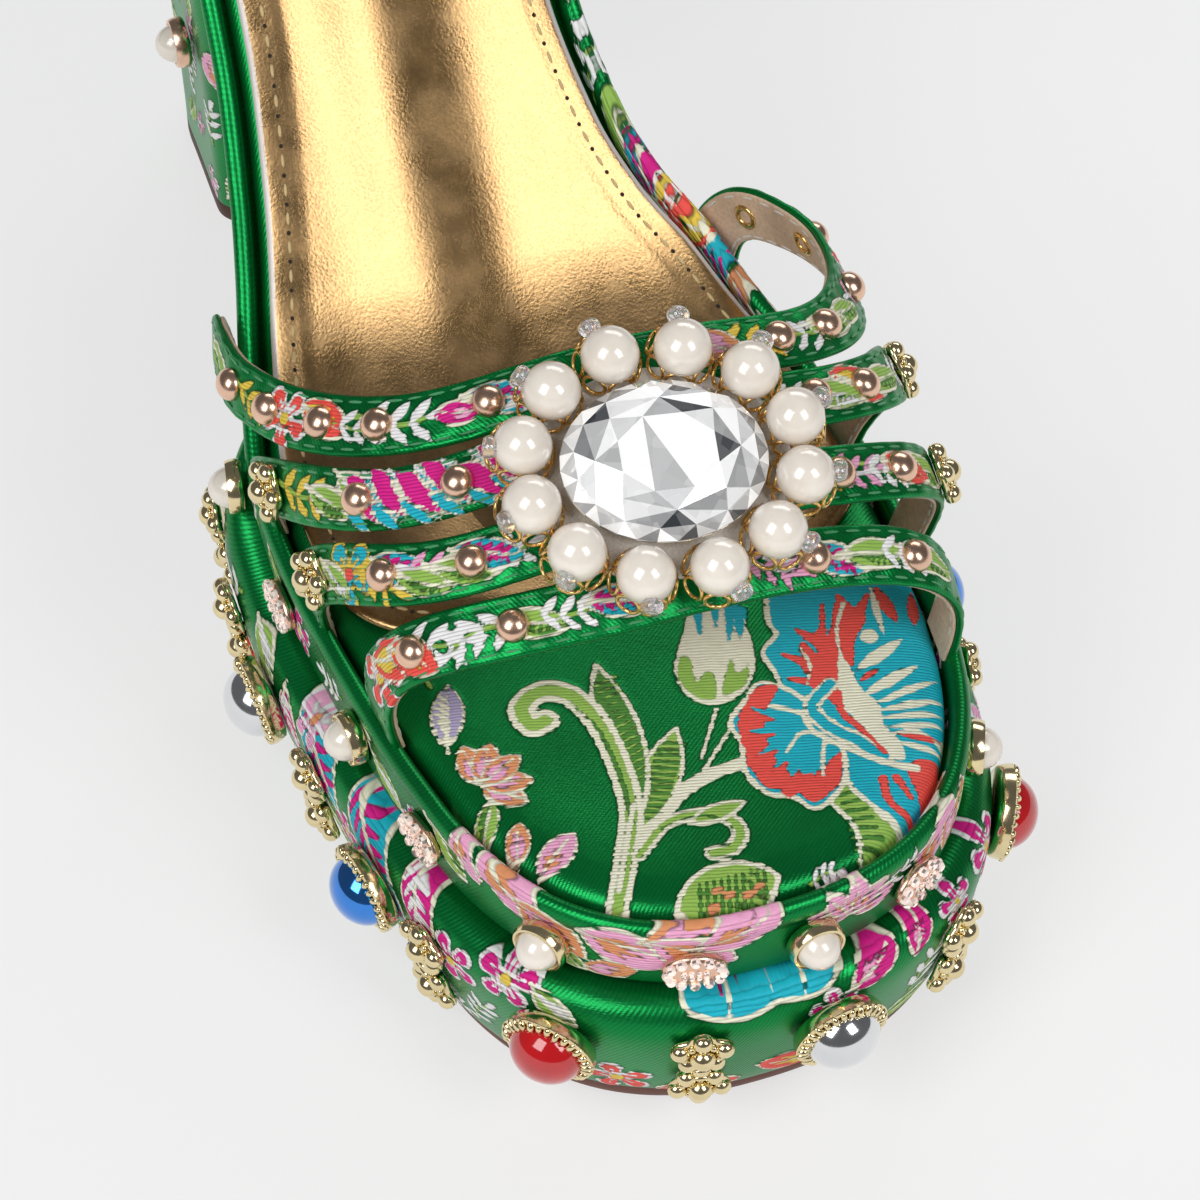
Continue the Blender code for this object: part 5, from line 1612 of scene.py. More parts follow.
def make_soles():
    s = stations(TOE_END, PLATFORM_END, 1.0, 1.6, 40.0)
    profile = rounded(OUTSOLE, 0.4, OUTSOLE_THICK)
    made = skin(TOE_END, PLATFORM_END, s, profile, outsole_level, first=4, last=3)
    piece = smooth_shade(laid_grid("rubber_outsole", made.points), radians(40))
    dress(piece, finish("outsole"), "outsole", "outsole")
    s = stations(WAIST_FRONT, WAIST_BACK, 0.8, 1.4, 120.0)
    made = skin(WAIST_FRONT, WAIST_BACK, s, rounded(WAIST, 0.4), waist_level, first=5, last=5)
    piece = smooth_shade(laid_grid("waist_cover", made.points), radians(40))
    dress(piece, finish("outsole"), "outsole", "waist_sole")


def heel_section(level, s):
    """The heel's section from its seat (0) to its foot (1): its ring in mm."""
    seat = ring(HEEL_BREAST, HEEL_END, s)
    seat = seat + outward(seat) * HEEL_SEAT_OUT
    foot = np.stack([
        HEEL_FOOT_MID[0] + (seat[:, 0] - HEEL_TOP_MID[0]) * HEEL_FOOT_WIDTH,
        HEEL_FOOT_MID[1] + (seat[:, 1] - HEEL_TOP_MID[1]) * HEEL_FOOT_DEPTH,
    ], 1)
    at = seat + (foot - seat) * (1 - (1 - level) ** HEEL_WAIST_POWER)
    high = upper_bottom(seat[:, 1]) - GAP
    low = TOP_PIECE_THICK + GAP
    return np.concatenate([at, (high + (low - high) * level)[:, None]], 1)


def capped(rows):
    """Rings closed by a pole at each end."""
    first, last = (np.broadcast_to(row[:-1].mean(0), row.shape) for row in (rows[0], rows[-1]))
    inner = [0.5 * (first + rows[0]), 0.5 * (last + rows[-1])]
    return np.array([first, inner[0], *rows, inner[1], last])


def make_heel(step):
    s = stations(HEEL_BREAST, HEEL_END, step, step, HEEL_END.s)
    levels = np.linspace(0, 1, int(HEEL_HIGH / step))
    points = capped([heel_section(level, s) for level in levels])
    arc = np.broadcast_to(arc_from_front(ring(HEEL_BREAST, HEEL_END, s)), points.shape[:2])
    chart = woven(arc, points[..., 2], HEEL_MOTIFS)
    piece = cover("covered_heel", points, chart, facing_out(points))
    dress(piece, finish("brocade"), "brocade", "heel")
    foot = heel_section(1.0, stations(HEEL_BREAST, HEEL_END, 1.2, 1.2, HEEL_END.s))
    middle = foot[:-1].mean(0)
    rows = []
    for tip in HEEL_TIP:
        row = middle + (foot - middle) * tip.inset
        row[:, 2] = tip.z
        rows.append(row)
    piece = smooth_shade(laid_grid("heel_tip", capped(rows)), radians(40))
    dress(piece, finish("top_piece"), "top_piece", "heel_top_piece")


# Straps

def on_last(strap, s, angle):
    """Points of the last under a strap: angle 0 is its left foot and pi its right one."""
    c = np.cos(angle)
    across = np.abs(c) ** (2 / LAST_FULLNESS)
    rise = np.abs(np.sin(angle)) ** (2 / LAST_FULLNESS)
    sides = []
    for name, sign, bulge in (("left", -1, strap.bulge_left), ("right", 1, strap.bulge_right)):
        slant = np.hypot(1.0, column(name, s + 0.5) - column(name, s - 0.5))
        foot_x = sign * (column(name, s) + strap.out * slant)
        sides.append(CROWN_X + (foot_x - CROWN_X) * across - bulge * np.sin(2 * angle))
    x = np.where(c > 0, *sides)
    z = insole_top(s) + strap.foot + (smooth(CROWN_S, CROWN_Z, s) - strap.foot) * rise
    return np.stack([x, s, z], -1)


def strap_station(strap, angle):
    c = np.cos(angle)
    foot = np.where(c > 0, strap.left, strap.right)
    lean = np.where(c > 0, strap.lean_left, strap.lean_right)
    return strap.crown + (foot - strap.crown) * np.abs(c) ** lean


StrapFrames = namedtuple("StrapFrames", "at normal width along")


def strap_frames(strap, angle):
    """Mid-line points, outward normals, width directions (to the toe) and run of a strap."""
    angle = np.asarray(angle, float)
    at = on_last(strap, strap_station(strap, angle), angle)
    angle = np.clip(angle, 0.02, pi - 0.02)
    step = 0.004
    s = strap_station(strap, angle)
    here = on_last(strap, s, angle)
    along = on_last(strap, strap_station(strap, angle + step), angle + step) - here
    around = on_last(strap, s, angle + step) - here
    back = on_last(strap, s + 0.2, angle) - here
    normal = unit(np.cross(around, back))
    out = np.stack([-np.cos(angle), np.zeros_like(angle), np.sin(angle)], -1)
    normal = np.where((normal * out).sum(-1, keepdims=True) < 0, -normal, normal)
    width = unit(np.cross(along, normal))
    return StrapFrames(at, normal, width, np.cross(normal, width))


def strap_run(strap):
    """Angles along a strap and the length from its crown at each."""
    angle = np.linspace(0, pi, 1200)
    at = on_last(strap, strap_station(strap, angle), angle)
    run = run_along(at)
    return angle, run - np.interp(pi / 2, angle, run)


def strap_section(half, low, high, step):
    """A closed cross-section (across, out): flat below, flat above, with rolled edges."""
    roll = (high - low) / 2
    turn = np.linspace(-pi / 2, pi / 2, 6)[1:-1]
    top = np.linspace(half - roll, -half + roll, int(2 * half / step))
    bottom = np.linspace(-half + roll, half - roll, 7)
    right, left = half - roll + roll * np.cos(turn), -half + roll - roll * np.cos(turn[::-1])
    up, down = (low + roll + roll * np.sin(way) for way in (turn, turn[::-1]))
    across = np.concatenate([bottom, right, top, left, bottom[:1]])
    out = np.concatenate([np.full(len(bottom), low), up, np.full(len(top), high), down, [low]])
    return across, out


def strap_shell(strap, half, low, high, step):
    """Grid points of a strap, with the length and place across of each."""
    angle, run = strap_run(strap)
    lengths = np.linspace(run[0], run[-1], int((run[-1] - run[0]) / step))
    frames = strap_frames(strap, np.interp(lengths, run, angle))
    across, out = strap_section(half, low, high, step)
    return frames, lengths, across, out


def strap_points(frames, across, out):
    """Rings of points along a strap, drawn in to a pole at each end."""
    sideways = frames.width[:, None] * across[None, :, None]
    points = frames.at[:, None] + sideways + frames.normal[:, None] * out[..., None]
    ends = [np.broadcast_to(points[k].mean(0), points[k].shape) for k in (0, -1)]
    return np.concatenate([ends[:1], points, ends[1:]])


def padded_ends(values):
    return np.concatenate([values[:1], values, values[-1:]])


def make_strap(number, sizes):
    strap = STRAPS[number]
    half, thick, lining = (v / MM for v in (sizes.strap_width / 2, sizes.strap_thick, sizes.lining_thick))
    step = sizes.weave_step / MM
    frames, lengths, across, out = strap_shell(strap, half, lining, thick, step)
    u, v = np.meshgrid(lengths, across, indexing="ij")
    angle, run = strap_run(strap)
    motifs = []
    for row in STRAP_MOTIFS:
        if row.strap == number:
            place = float(np.interp(radians(row.angle), angle, run))
            motifs.append(Motif(row.kind, place, row.across, row.turn, row.size))
    chart = woven(u, v, motifs)
    top = np.clip((out - lining) / (thick - lining), 0, 1) ** 3
    seam = STRAP_SEAM_DEEP * np.exp(-((np.abs(across) - half + STRAP_SEAM_IN) / STRAP_SEAM_HALF) ** 2)
    ripple = 0.10 * np.sin(0.55 * u + number) * np.sin(0.9 * v + 0.21 * u)
    ripple = ripple + 0.07 * np.sin(1.7 * u + 2.1 * number)
    crown = STRAP_CROWN * np.clip(1 - (across / half) ** 2, 0, 1)
    lift = top * (ripple + crown - seam + sizes.relief / MM * chart.relief())
    points = strap_points(frames, across, out + lift)
    values = {key: padded_ends(value) for key, value in chart.values().items()}
    piece = smooth_shade(laid_grid("strap_" + strap.name, points, values))
    dress(piece, finish("brocade"), "brocade", *(("upper_straps",) if number == 0 else ()))
    frames, lengths, across, out = strap_shell(strap, half - LINING_IN, 0.0, lining - 0.02, 1.1)
    points = strap_points(frames, across, np.broadcast_to(out, (len(lengths), len(out))))
    piece = smooth_shade(laid_grid("strap_lining_" + strap.name, points), radians(50))
    dress(piece, finish("lining"), "gold_leather")
    return strap_stitches(strap, half, thick, sizes.stitch / MM)


def strap_stitches(strap, half, thick, length):
    """Places of the stitches along both edges: on the cloth, and on the lining."""
    angle, run = strap_run(strap)
    middles = np.arange(run[0] + 3, run[-1] - 3, length * STITCH_SPACING)
    frames = strap_frames(strap, np.interp(middles, run, angle))
    face, under = [], []
    for at, normal, width, along in zip(*frames):
        turn = [Vector(v) for v in (along, width, normal)]
        for side in (-1, 1):
            edge_at = at + width * side * (half - STRAP_SEAM_IN)
            above = point(*(edge_at + normal * (thick - STITCH_SINK)))
            below = point(*(edge_at - normal * STITCH_SINK))
            face.append(scaled_frame(*turn, above, (0.5 * length, *FACE_STITCH)))
            under.append(scaled_frame(*turn, below, (0.5 * length, *LINING_STITCH)))
    return face, under


def make_straps(sizes):
    face, under = [], []
    for number in range(len(STRAPS)):
        over, below = make_strap(number, sizes)
        face += over
        under += below
    seed = ball(1.0, segments=8, rings=6)
    dress(spread(seed, "strap_stitches", face), finish("green_thread"), "brocade")
    dress(spread(seed, "lining_stitches", under), finish("white_thread"), "gold_leather")
    drop_piece(seed)


def strap_spot(number, degrees, out):
    """A frame on a strap: +Z out of it and +X to the toe."""
    frames = strap_frames(STRAPS[number], np.array([radians(degrees)]))
    at, normal, width = frames.at[0], frames.normal[0], frames.width[0]
    return frame_matrix(width, np.cross(normal, width), normal, point(*(at + normal * out)))


def make_rivets(sizes):
    radius = sizes.rivet / MM / 2
    thick = sizes.strap_thick / MM
    profile = [Turn(0, -0.3), Turn(0.94 * radius, -0.3), Turn(radius, 0.1), Turn(0.99 * radius, 0.45)]
    for turn in np.linspace(0.2, 0.5 * pi, 7):
        profile.append(Turn(0.97 * radius * cos(turn), 0.35 + 0.78 * radius * sin(turn)))
    head = smooth_shade(turned("rivet_head", profile, 24))
    back = smooth_shade(turned("rivet_ring", RIVET_BACK, 20))
    heads = [strap_spot(row.strap, angle, thick + 0.1) for row in RIVETS for angle in row.angles]
    turned_in = Matrix.Rotation(pi, 4, "X")
    backs = [strap_spot(row.strap, angle, 0.05) @ turned_in for row in RIVETS for angle in row.angles]
    dress(spread(head, "strap_rivets", heads), finish("rose_gold"), "rose_gold")
    dress(spread(back, "rivet_backs", backs), finish("wire"), "rose_gold")
    drop_piece(head)
    drop_piece(back)


# Brooch

def brooch_matrix():
    pitch = Matrix.Rotation(BROOCH_PITCH, 4, "X")
    return Matrix.Translation(point(*BROOCH_MID)) @ pitch @ Matrix.Rotation(BROOCH_TURN, 4, "Z")


def put(piece, place):
    """Moves a modelled piece, still at the origin, to its place."""
    piece.data.transform(place)
    return piece


def painted_facet_reflections(mesh):
    """A painted reflection tone for each facet, set apart from those beside it; the heart has a painted
    bright reflection, greyer below.
    """
    beside = {}
    for face in mesh.polygons:
        for key in face.edge_keys:
            beside.setdefault(key, []).append(face.index)
    chance = np.random.default_rng(11)
    tones = np.full(len(mesh.polygons), -1.0)
    for face in sorted(mesh.polygons, key=lambda face: face.center.xy.length):
        near = [tones[number] for key in face.edge_keys for number in beside[key]]
        free = [tone for tone in STONE_REFLECTION_TONES if all(abs(tone - other) > STONE_STEP for other in near)]
        tones[face.index] = chance.choice(free or STONE_REFLECTION_TONES)
        if face.center.xy.length < STONE_HEART:
            tones[face.index] = 1.0 if face.center.y > -0.15 else 0.5
    return tones


def make_stone():
    """An oval stone: flat facets stretched over rings of corners, then drawn out to its size."""
    deselect()
    bpy.ops.mesh.primitive_circle_add(radius=1.0)
    piece = bpy.context.object
    piece.name = "cut_stone"
    bpy.ops.object.mode_set(mode="EDIT")
    bpy.ops.mesh.delete(type="VERT")
    for row in STONE_RINGS:
        bpy.ops.mesh.primitive_circle_add(vertices=row.count, radius=row.radius, location=(0, 0, row.level),
                                          rotation=(0, 0, 2 * pi * row.twist / row.count))
    bpy.ops.mesh.select_all(action="SELECT")
    bpy.ops.mesh.convex_hull(join_triangles=False)
    bpy.ops.mesh.select_all(action="SELECT")
    bpy.ops.mesh.normals_make_consistent(inside=False)
    bpy.ops.object.mode_set(mode="OBJECT")
    # Each facet keeps its painted reflection tone.
    tone = piece.data.attributes.new("facet", "FLOAT", "FACE")
    tone.data.foreach_set("value", painted_facet_reflections(piece.data))
    bpy.ops.object.shade_flat()
    lift = GAP + TRAY_HIGH + GAP
    size = Matrix.Diagonal((STONE_HALF[0] * MM, STONE_HALF[1] * MM, STONE_HIGH * MM, 1))
    put(piece, brooch_matrix() @ Matrix.Translation((0, 0, lift * MM)) @ size)
    dress(piece, finish("crystal"), "crystal", "brooch_stone")


def make_brooch(sizes):
    place = brooch_matrix()
    felt = turned("brooch_base", FELT, 96, PLATE_HALF)
    dress(smooth_shade(put(felt, place)), finish("felt"), "brocade")
    tray = turned("stone_tray", TRAY, 96, TRAY_HALF)
    dress(smooth_shade(put(tray, place), radians(40)), finish("pale_gold"), "pale_gold", "brooch_tray")
    make_stone()
    radius = sizes.pearl / MM / 2
    round_pearl = drilled_pearl(radius)
    loop = wire_cap(radius)
    bead = seed_bead(sizes.seed / MM / 2)
    loops, beads = [], []
    for k in range(PEARL_COUNT):
        a = 2 * pi * (k + 0.5) / PEARL_COUNT
        turn = Matrix.Rotation(a, 4, "Z")
        spot = Vector((PEARL_RING_HALF[0] * cos(a), PEARL_RING_HALF[1] * sin(a), GAP + radius)) * MM
        there = place @ Matrix.Translation(spot) @ turn
        made = copy_at(round_pearl, f"ring_pearl_{k + 1:02d}", there)
        dress(made, finish("pearl"), "pearl", f"brooch_pearl_{k + 1:02d}")
        loops.append(there)
        b = a + SEED_TURN
        out = Vector((SEED_RING_HALF[0] * cos(b), SEED_RING_HALF[1] * sin(b), SEED_HIGH)) * MM
        beads.append(place @ Matrix.Translation(out) @ turn @ Matrix.Rotation(0.5 * k, 4, "X"))
    dress(spread(loop, "gilt_wire_caps", loops), finish("wire"), "pale_gold")
    dress(spread(bead, "seed_beads", beads), finish("seed_glass"), "crystal")
    for piece in (round_pearl, loop, bead):
        drop_piece(piece)


def drilled_pearl(radius):
    """A pearl with the drill hole that its thread runs through, along x."""
    piece = ball(radius, segments=36, rings=22)
    pick(piece)
    bpy.ops.object.mode_set(mode="EDIT")
    for way in (-1, 1):
        bpy.ops.mesh.select_all(action="SELECT")
        bpy.ops.mesh.bisect(plane_co=(DRILL_AT * way * radius * MM, 0, 0), plane_no=(way, 0, 0),
                            use_fill=True, clear_outer=True, threshold=1e-7)
        bpy.ops.mesh.inset(thickness=DRILL_RIM * MM)
        bpy.ops.mesh.extrude_region_move(TRANSFORM_OT_translate={"value": (-DRILL_DEEP * way * MM, 0, 0)})
    bpy.ops.object.mode_set(mode="OBJECT")
    return smooth_shade(piece, radians(40))


def wire_ring(radius, half, steps, round_steps):
    """A ring of round wire, in mm."""
    deselect()
    bpy.ops.mesh.primitive_torus_add(major_radius=radius * MM, minor_radius=half * MM, major_segments=steps,
                                     minor_segments=round_steps)
    return bpy.context.object


def wire_cap(radius):
    """Loops of gilt wire that cup a pearl from below."""
    pieces = []
    for k in range(WIRE_LOOPS):
        turn = Matrix.Rotation(2 * pi * (k + 0.5) / WIRE_LOOPS, 4, "Z")
        beside = turn @ Matrix.Translation(Vector((1.02 * radius, 0, -0.52 * radius)) * MM)
        lean = Matrix.Rotation(radians(74), 4, "Y") @ Matrix.Diagonal((1.05, 1.12, 1, 1))
        pieces.append(put(wire_ring(*WIRE_LOOP, 16, 6), beside @ lean))
    return join("wire_cap", pieces)


def seed_bead(radius):
    upright = Matrix.Rotation(pi / 2, 4, "Y") @ Matrix.Diagonal((1, 1, 1.35, 1))
    return put(wire_ring(0.55 * radius, 0.47 * radius, 16, 10), upright)


# Trim round the platform and on the heel

def round_the_edge(fraction):
    """Point and outward direction at a fraction of the way round the insole's edge."""
    loop = ring(TOE_END, HEEL_END, stations(TOE_END, HEEL_END, 0.8, 1.5, UPPER_FINE_TO))
    run = run_along(loop)
    at, way = (np.array([np.interp(fraction * run[-1], run, v[:, i]) for i in (0, 1)])
               for v in (loop, outward(loop)))
    return at, unit(way)


def facing(at, out, tilt):
    """A frame at a point with +Z pointing out of the wall and +Y up it."""
    flat = Vector((out[0], out[1], 0)).normalized()
    axis = (flat * cos(tilt) + Vector((0, 0, sin(tilt)))).normalized()
    side = Vector((0, 0, 1)).cross(axis).normalized()
    return frame_matrix(side, axis.cross(side), axis, at)


def lower_wall(fraction, level):
    at, out = round_the_edge(fraction)
    levels, outs = [row.level for row in LOWER][::-1], [row.out for row in LOWER][::-1]
    spot = at + out * float(np.interp(level, levels, outs))
    return facing(point(spot[0], spot[1], float(lower_level(Wall(0, level), spot[1]))), out, LOWER_TRIM_TILT)


def upper_wall(fraction):
    at, out = round_the_edge(fraction)
    depth = float(column("depth", at[1]))
    spot = at + out * (UPPER_TRIM_OUT + UPPER_TRIM_EASE * (STATIONS[0].depth - depth))
    return facing(point(spot[0], spot[1], float(insole_top(at[1])) - UPPER_TRIM_DROP * depth), out, 0.0)


def make_stones():
    cup = smooth_shade(turned("cup", SETTING, 64), radians(50))
    claw = ball(1.0, segments=10, rings=8)
    claws = []
    for k in range(CLAWS):
        a = 2 * pi * k / CLAWS
        size = (1.0 + 0.18 * sin(5.3 * k), 0.52 + 0.10 * sin(3.1 * k), 0.55 + 0.10 * sin(7.7 * k), 1)
        lean = Matrix.Rotation(radians(20 + 12 * sin(2.3 * k)), 4, "Y") @ Matrix.Diagonal(size)
        beside = Matrix.Translation(Vector((CLAW_AT[0], 0, CLAW_AT[1])) * MM)
        claws.append(Matrix.Rotation(a, 4, "Z") @ beside @ lean)
    rim = spread(claw, "rim", claws)
    setting = join("setting", [cup, rim])
    dome_rows = [Turn(0, 1.9), Turn(5.1, 1.9)]
    for turn in np.linspace(0.05, pi / 2, 16):
        dome_rows.append(Turn(DOME_RADIUS * cos(turn), 2.5 + DOME_HIGH * sin(turn)))
    dome = smooth_shade(turned("dome", dome_rows, 48))
    for row in CABOCHONS:
        place = lower_wall(row.round, CABOCHON_LEVEL)
        colour = row.name.split("_")[0]
        made = copy_at(setting, "cup_" + row.name, place)
        dress(made, finish("pale_gold"), "pale_gold", "setting_" + row.name)
        made = copy_at(dome, "dome_" + row.name, place)
        dress(made, finish(colour), colour, "cabochon_" + row.name)
    for piece in (setting, dome, claw):
        drop_piece(piece)


def flower_shape():
    """A cast flower: a round heart and five knobs on a lobed plate."""
    plate = turned("flower_plate", FLOWER_PLATE, 60, lobes=5)
    parts = [smooth_shade(plate), ball(1.55, (0, 0, 1.7), (1, 1, 0.95), 20, 12)]
    for k in range(5):
        x, y = round_point(2 * pi * k / 5, 2.75)
        parts.append(ball(1.22, (x, y, 1.1), (1, 1, 0.9), 16, 10))
        x, y = round_point(2 * pi * (k + 0.5) / 5, 2.2)
        parts.append(ball(0.5, (x, y, 1.35), (1, 1, 0.9), 8, 6))
    return join("flower", parts)


def make_flowers(sizes):
    flower = flower_shape()
    half = FLOWER_PITCH / 2 * MM
    bar = ball(1.0, (0, 0, 1.2), (1.25, 2.9, 0.75), 16, 10)
    rungs = [ball(0.62, (0, y, 1.75), (1.7, 0.7, 0.7), 12, 8) for y in (-0.9, 0.9)]
    ends = []
    for name, way in (("low", -1), ("high", 1)):
        place = Matrix.Translation((0, way * half, 0)) @ Matrix.Rotation(way * pi / 2, 4, "Z")
        ends.append(copy_at(flower, name, place))
    pair = join("pair", [*ends, bar, *rungs])
    for row in FLOWER_PAIRS:
        place = lower_wall(row.round, PAIR_LEVEL)
        made = copy_at(pair, "cast_pair_" + row.name, place @ Matrix.Scale(FLOWER_SIZE, 4))
        dress(made, finish("pale_gold"), "pale_gold", "flower_pair_" + row.name)
    for row in STRAP_FLOWERS:
        place = strap_spot(row.strap, row.angle, sizes.strap_thick / MM + 0.1)
        made = copy_at(flower, "cast_flower_" + row.name, place @ Matrix.Scale(FLOWER_SIZE, 4))
        dress(made, finish("pale_gold"), "pale_gold", "strap_flower_" + row.name)
    drop_piece(flower)
    drop_piece(pair)


def heel_side(s, z):
    """A frame on the heel's left side."""
    steps = stations(HEEL_BREAST, HEEL_END, 0.8, 0.8, HEEL_END.s)
    best = None
    for level in np.linspace(0, 1, 101):
        section = heel_section(level, steps)
        far = np.hypot(section[:, 1] - s, section[:, 2] - z)
        miss = np.where(section[:, 0] < HEEL_FOOT_MID[0], far, np.inf)
        k = int(np.argmin(miss))
        if best is None or miss[k] < best[0]:
            best = (miss[k], section[k, :2], outward(section[:, :2])[k])
    spot = best[1] + best[2] * HEEL_STUD_STAND
    return facing(point(spot[0], spot[1], z), best[2], 0.0)


def make_studs():
    bezel = smooth_shade(turned("bezel", BEZEL, 48), radians(45))
    rows = [Turn(0, 0.6), Turn(HALF_PEARL, 0.6)]
    for turn in np.linspace(0.1, pi / 2, 12):
        rows.append(Turn(HALF_PEARL * cos(turn), 1.5 + 3.5 * sin(turn)))
    half_pearl = smooth_shade(turned("half_pearl", rows, 40))
    studs = [(row.name, upper_wall(row.round), "pale_gold", "pearl_stud_" + row.name) for row in PEARL_STUDS]
    studs.append(("heel", heel_side(*HEEL_STUD), "rose_gold", "heel_stud"))
    for name, place, plate, node in studs:
        dress(copy_at(bezel, "bezel_" + name, place), finish(plate), plate)
        dress(copy_at(half_pearl, "half_pearl_" + name, place), finish("pearl"), "pearl", node)
    make_rondelles()
    drop_piece(bezel)
    drop_piece(half_pearl)


def make_rondelles():
    """Oval plates set with small cut stones."""
    base = smooth_shade(turned("rondelle", RONDELLE, 48, RONDELLE_HALF), radians(50))
    chip = cut_chip()
    chips = []
    for k in range(RONDELLE_CHIPS):
        x, y = round_point(2 * pi * k / RONDELLE_CHIPS, 0.84)
        chips.append(((x * RONDELLE_HALF[0], y * RONDELLE_HALF[1], 1.5), 0.78))
    chips += [((x, y, 1.75), 0.42) for x in (-1.5, -0.5, 0.5, 1.5) for y in (-0.5, 0.5)]
    places = [Matrix.Translation(Vector(at) * MM) @ Matrix.Scale(size, 4) for at, size in chips]
    cluster = spread(chip, "chips", places)
    cluster.data.shade_flat()
    for row in RONDELLES:
        place = upper_wall(row.round)
        made = copy_at(base, "oval_" + row.name, place)
        dress(made, finish("rose_gold"), "rose_gold", "rondelle_" + row.name)
        made = copy_at(cluster, "chips_" + row.name, place)
        # Each chip facet gets a painted reflection tone.
        tone = made.data.attributes.new("facet", "FLOAT", "FACE")
        tone.data.foreach_set("value", painted_chip_reflections(made.data))
        dress(made, finish("rose_crystal"), "crystal")
    for piece in (base, chip, cluster):
        drop_piece(piece)


def painted_chip_reflections(mesh):
    """A painted reflection tone for each facet of the chips, drawn in the order of their corners so that
    every run is alike.
    """
    order = sorted(range(len(mesh.polygons)), key=lambda number: sorted(mesh.polygons[number].vertices))
    tones = np.empty(len(order))
    tones[order] = np.random.default_rng(5).choice(CHIP_REFLECTION_TONES, len(order))
    return tones


def cut_chip():
    """A small faceted stone, 2 mm across."""
    deselect()
    bpy.ops.mesh.primitive_uv_sphere_add(segments=8, ring_count=6, radius=1.0 * MM)
    piece = bpy.context.object
    bpy.ops.object.mode_set(mode="EDIT")
    bpy.ops.mesh.select_all(action="SELECT")
    bpy.ops.mesh.bisect(plane_co=(0, 0, 0.72 * MM), plane_no=(0, 0, 1), use_fill=True, clear_outer=True,
                        threshold=1e-7)
    bpy.ops.object.mode_set(mode="OBJECT")
    bpy.ops.object.shade_flat()
    return piece


# Stage

def aim(at, target):
    return (target - at).to_track_quat("-Z", "Y").to_euler()


def softbox(name, target, azimuth, elevation, distance, size, power):
    """A rectangular light; azimuth 0 is in front of the toe."""
    a, e = radians(azimuth), radians(elevation)
    at = target + distance * Vector((sin(a) * cos(e), -cos(a) * cos(e), sin(e)))
    deselect()
    bpy.ops.object.light_add(type="AREA", location=at, rotation=aim(at, target))
    light = bpy.context.object
    light.name = name
    light.data.shape = "RECTANGLE"
    light.data.size, light.data.size_y = size
    light.data.energy = power


def make_stage(stage):
    scene = bpy.context.scene
    scene.view_settings.view_transform = "Standard"
    target = Vector((stage.target_x, stage.target_y, stage.target_z))
    a, e = stage.azimuth, stage.elevation
    back = Vector((sin(a) * cos(e), -cos(a) * cos(e), sin(e)))
    deselect()
    bpy.ops.object.camera_add(location=target + back * stage.distance, rotation=aim(target + back, target))
    camera = bpy.context.object
    camera.data.sensor_width = SENSOR_MM
    camera.data.lens = stage.lens
    camera.data.clip_start = 0.01
    scene.camera = camera
    deselect()
    bpy.ops.mesh.primitive_plane_add(size=FLOOR_SIZE, location=(0, 0, -FLOOR_DROP))
    floor = settle(bpy.context.object)
    floor.name = "floor"
    made, tree, shader = new_material("floor")
    speck = noise(tree, place_mm(tree), 0.02, 2.0)
    tone = span(tree, speck, 0.3, 0.7, 0.97, 1.0)
    wire(tree, shader, {"Base Color": mixed(tree, 1.0, grey(tree, tone), stage.floor, "MULTIPLY"),
                        "Roughness": 0.9, "Emission Color": (1, 1, 1, 1), "Emission Strength": FLOOR_GLOW})
    floor.data.materials.append(made)
    world = bpy.data.worlds.new("room")
    world.use_nodes = True
    world.node_tree.nodes["Background"].inputs["Color"].default_value = (*stage.room, 1)
    scene.world = world
    for row in SOFTBOXES:
        softbox(row.name, target, row.azimuth, row.elevation, row.distance, row.size, row.power)


# Operators

class MULE_OT_stage(bpy.types.Operator):
    """Sets up the camera, the floor and the softboxes."""

    bl_idname = "mule.stage"
    bl_label = "Stage"

    def execute(self, context):
        make_stage(context.scene.mule_stage)
        return {"FINISHED"}


class MULE_OT_platform(bpy.types.Operator):
    """Covers the two tiers of the platform in brocade."""

    bl_idname = "mule.platform"
    bl_label = "Platform"

    def execute(self, context):
        step = context.scene.mule_sizes.weave_step / MM
        make_lower_tier(step)
        make_upper_tier(step)
        return {"FINISHED"}


class MULE_OT_footbed(bpy.types.Operator):
    """Makes the padded footbed with its flower and scroll."""

    bl_idname = "mule.footbed"
    bl_label = "Footbed"

    def execute(self, context):
        make_footbed(context.scene.mule_sizes.weave_step / MM)
        return {"FINISHED"}


class MULE_OT_sock(bpy.types.Operator):
    """Makes the gold sock and its stitching."""

    bl_idname = "mule.sock"
    bl_label = "Sock"

    def execute(self, context):
        make_sock(SOCK_STEP)
        return {"FINISHED"}


class MULE_OT_soles(bpy.types.Operator):
    """Makes the outsole and the cover under the waist."""

    bl_idname = "mule.soles"
    bl_label = "Soles"

    def execute(self, context):
        make_soles()
        return {"FINISHED"}


class MULE_OT_heel(bpy.types.Operator):
    """Makes the covered heel and its top piece."""

    bl_idname = "mule.heel"
    bl_label = "Heel"

    def execute(self, context):
        make_heel(HEEL_STEP)
        return {"FINISHED"}


class MULE_OT_straps(bpy.types.Operator):
    """Makes the four straps with their linings, stitches and rivets."""

    bl_idname = "mule.straps"
    bl_label = "Straps"

    def execute(self, context):
        make_straps(context.scene.mule_sizes)
        make_rivets(context.scene.mule_sizes)
        return {"FINISHED"}


class MULE_OT_brooch(bpy.types.Operator):
    """Makes the brooch: base, tray, cut stone, pearls, wire and seed beads."""

    bl_idname = "mule.brooch"
    bl_label = "Brooch"

    def execute(self, context):
        make_brooch(context.scene.mule_sizes)
        return {"FINISHED"}


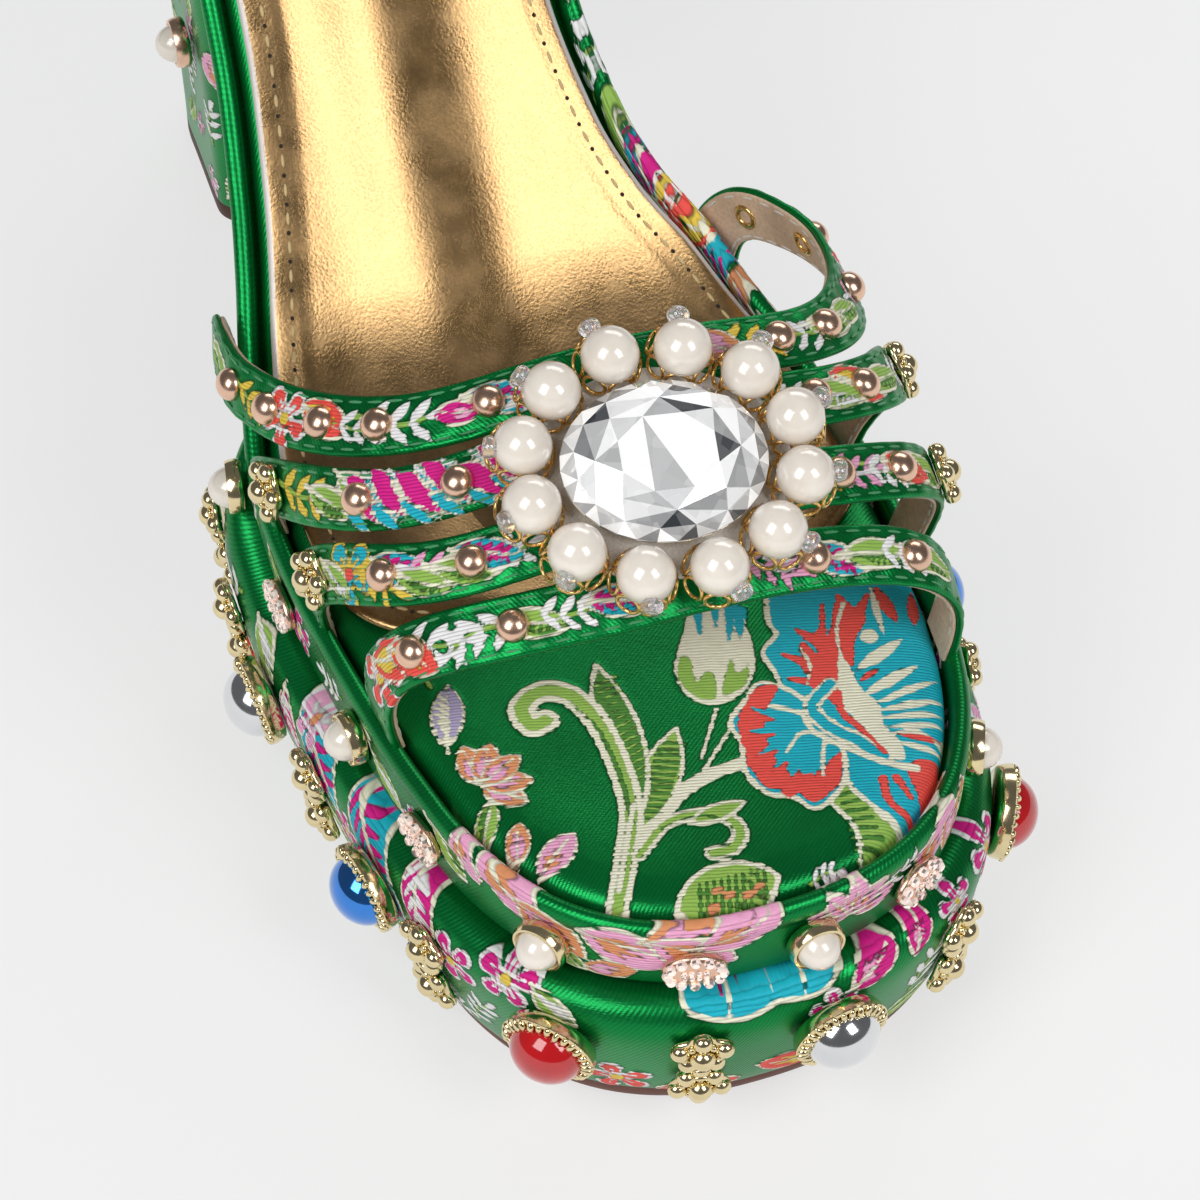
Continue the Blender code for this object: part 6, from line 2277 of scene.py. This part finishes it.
class MULE_OT_stones(bpy.types.Operator):
    """Sets the domes in their cups on the lower tier."""

    bl_idname = "mule.stones"
    bl_label = "Stones"

    def execute(self, context):
        make_stones()
        return {"FINISHED"}


class MULE_OT_flowers(bpy.types.Operator):
    """Sets the cast flowers on the lower tier and the straps."""

    bl_idname = "mule.flowers"
    bl_label = "Flowers"

    def execute(self, context):
        make_flowers(context.scene.mule_sizes)
        return {"FINISHED"}


class MULE_OT_studs(bpy.types.Operator):
    """Sets the half pearls and the rondelles on the upper tier and the heel."""

    bl_idname = "mule.studs"
    bl_label = "Studs"

    def execute(self, context):
        make_studs()
        return {"FINISHED"}


OPERATORS = (MULE_OT_stage, MULE_OT_platform, MULE_OT_footbed, MULE_OT_sock, MULE_OT_soles, MULE_OT_heel,
             MULE_OT_straps, MULE_OT_brooch, MULE_OT_stones, MULE_OT_flowers, MULE_OT_studs)


class MULE_PT_build(bpy.types.Panel):
    """Lists the steps of the build."""

    bl_idname = "MULE_PT_build"
    bl_label = "Mule"
    bl_space_type = "VIEW_3D"
    bl_region_type = "UI"
    bl_category = "Mule"

    def draw(self, context):
        for operator in OPERATORS:
            self.layout.operator(operator.bl_idname)


CLASSES = (MuleSizes, MuleColours, MuleStage, *OPERATORS, MULE_PT_build)


def register():
    for made in CLASSES:
        bpy.utils.register_class(made)
    bpy.types.Scene.mule_sizes = PointerProperty(type=MuleSizes)
    bpy.types.Scene.mule_colours = PointerProperty(type=MuleColours)
    bpy.types.Scene.mule_stage = PointerProperty(type=MuleStage)


def unregister():
    for name in ("mule_sizes", "mule_colours", "mule_stage"):
        delattr(bpy.types.Scene, name)
    for made in reversed(CLASSES):
        bpy.utils.unregister_class(made)


def main():
    register()
    deselect()
    bpy.ops.mule.stage()
    bpy.ops.mule.platform()
    bpy.ops.mule.footbed()
    bpy.ops.mule.sock()
    bpy.ops.mule.soles()
    bpy.ops.mule.heel()
    bpy.ops.mule.straps()
    bpy.ops.mule.brooch()
    bpy.ops.mule.stones()
    bpy.ops.mule.flowers()
    bpy.ops.mule.studs()


if __name__ == "__main__":
    main()
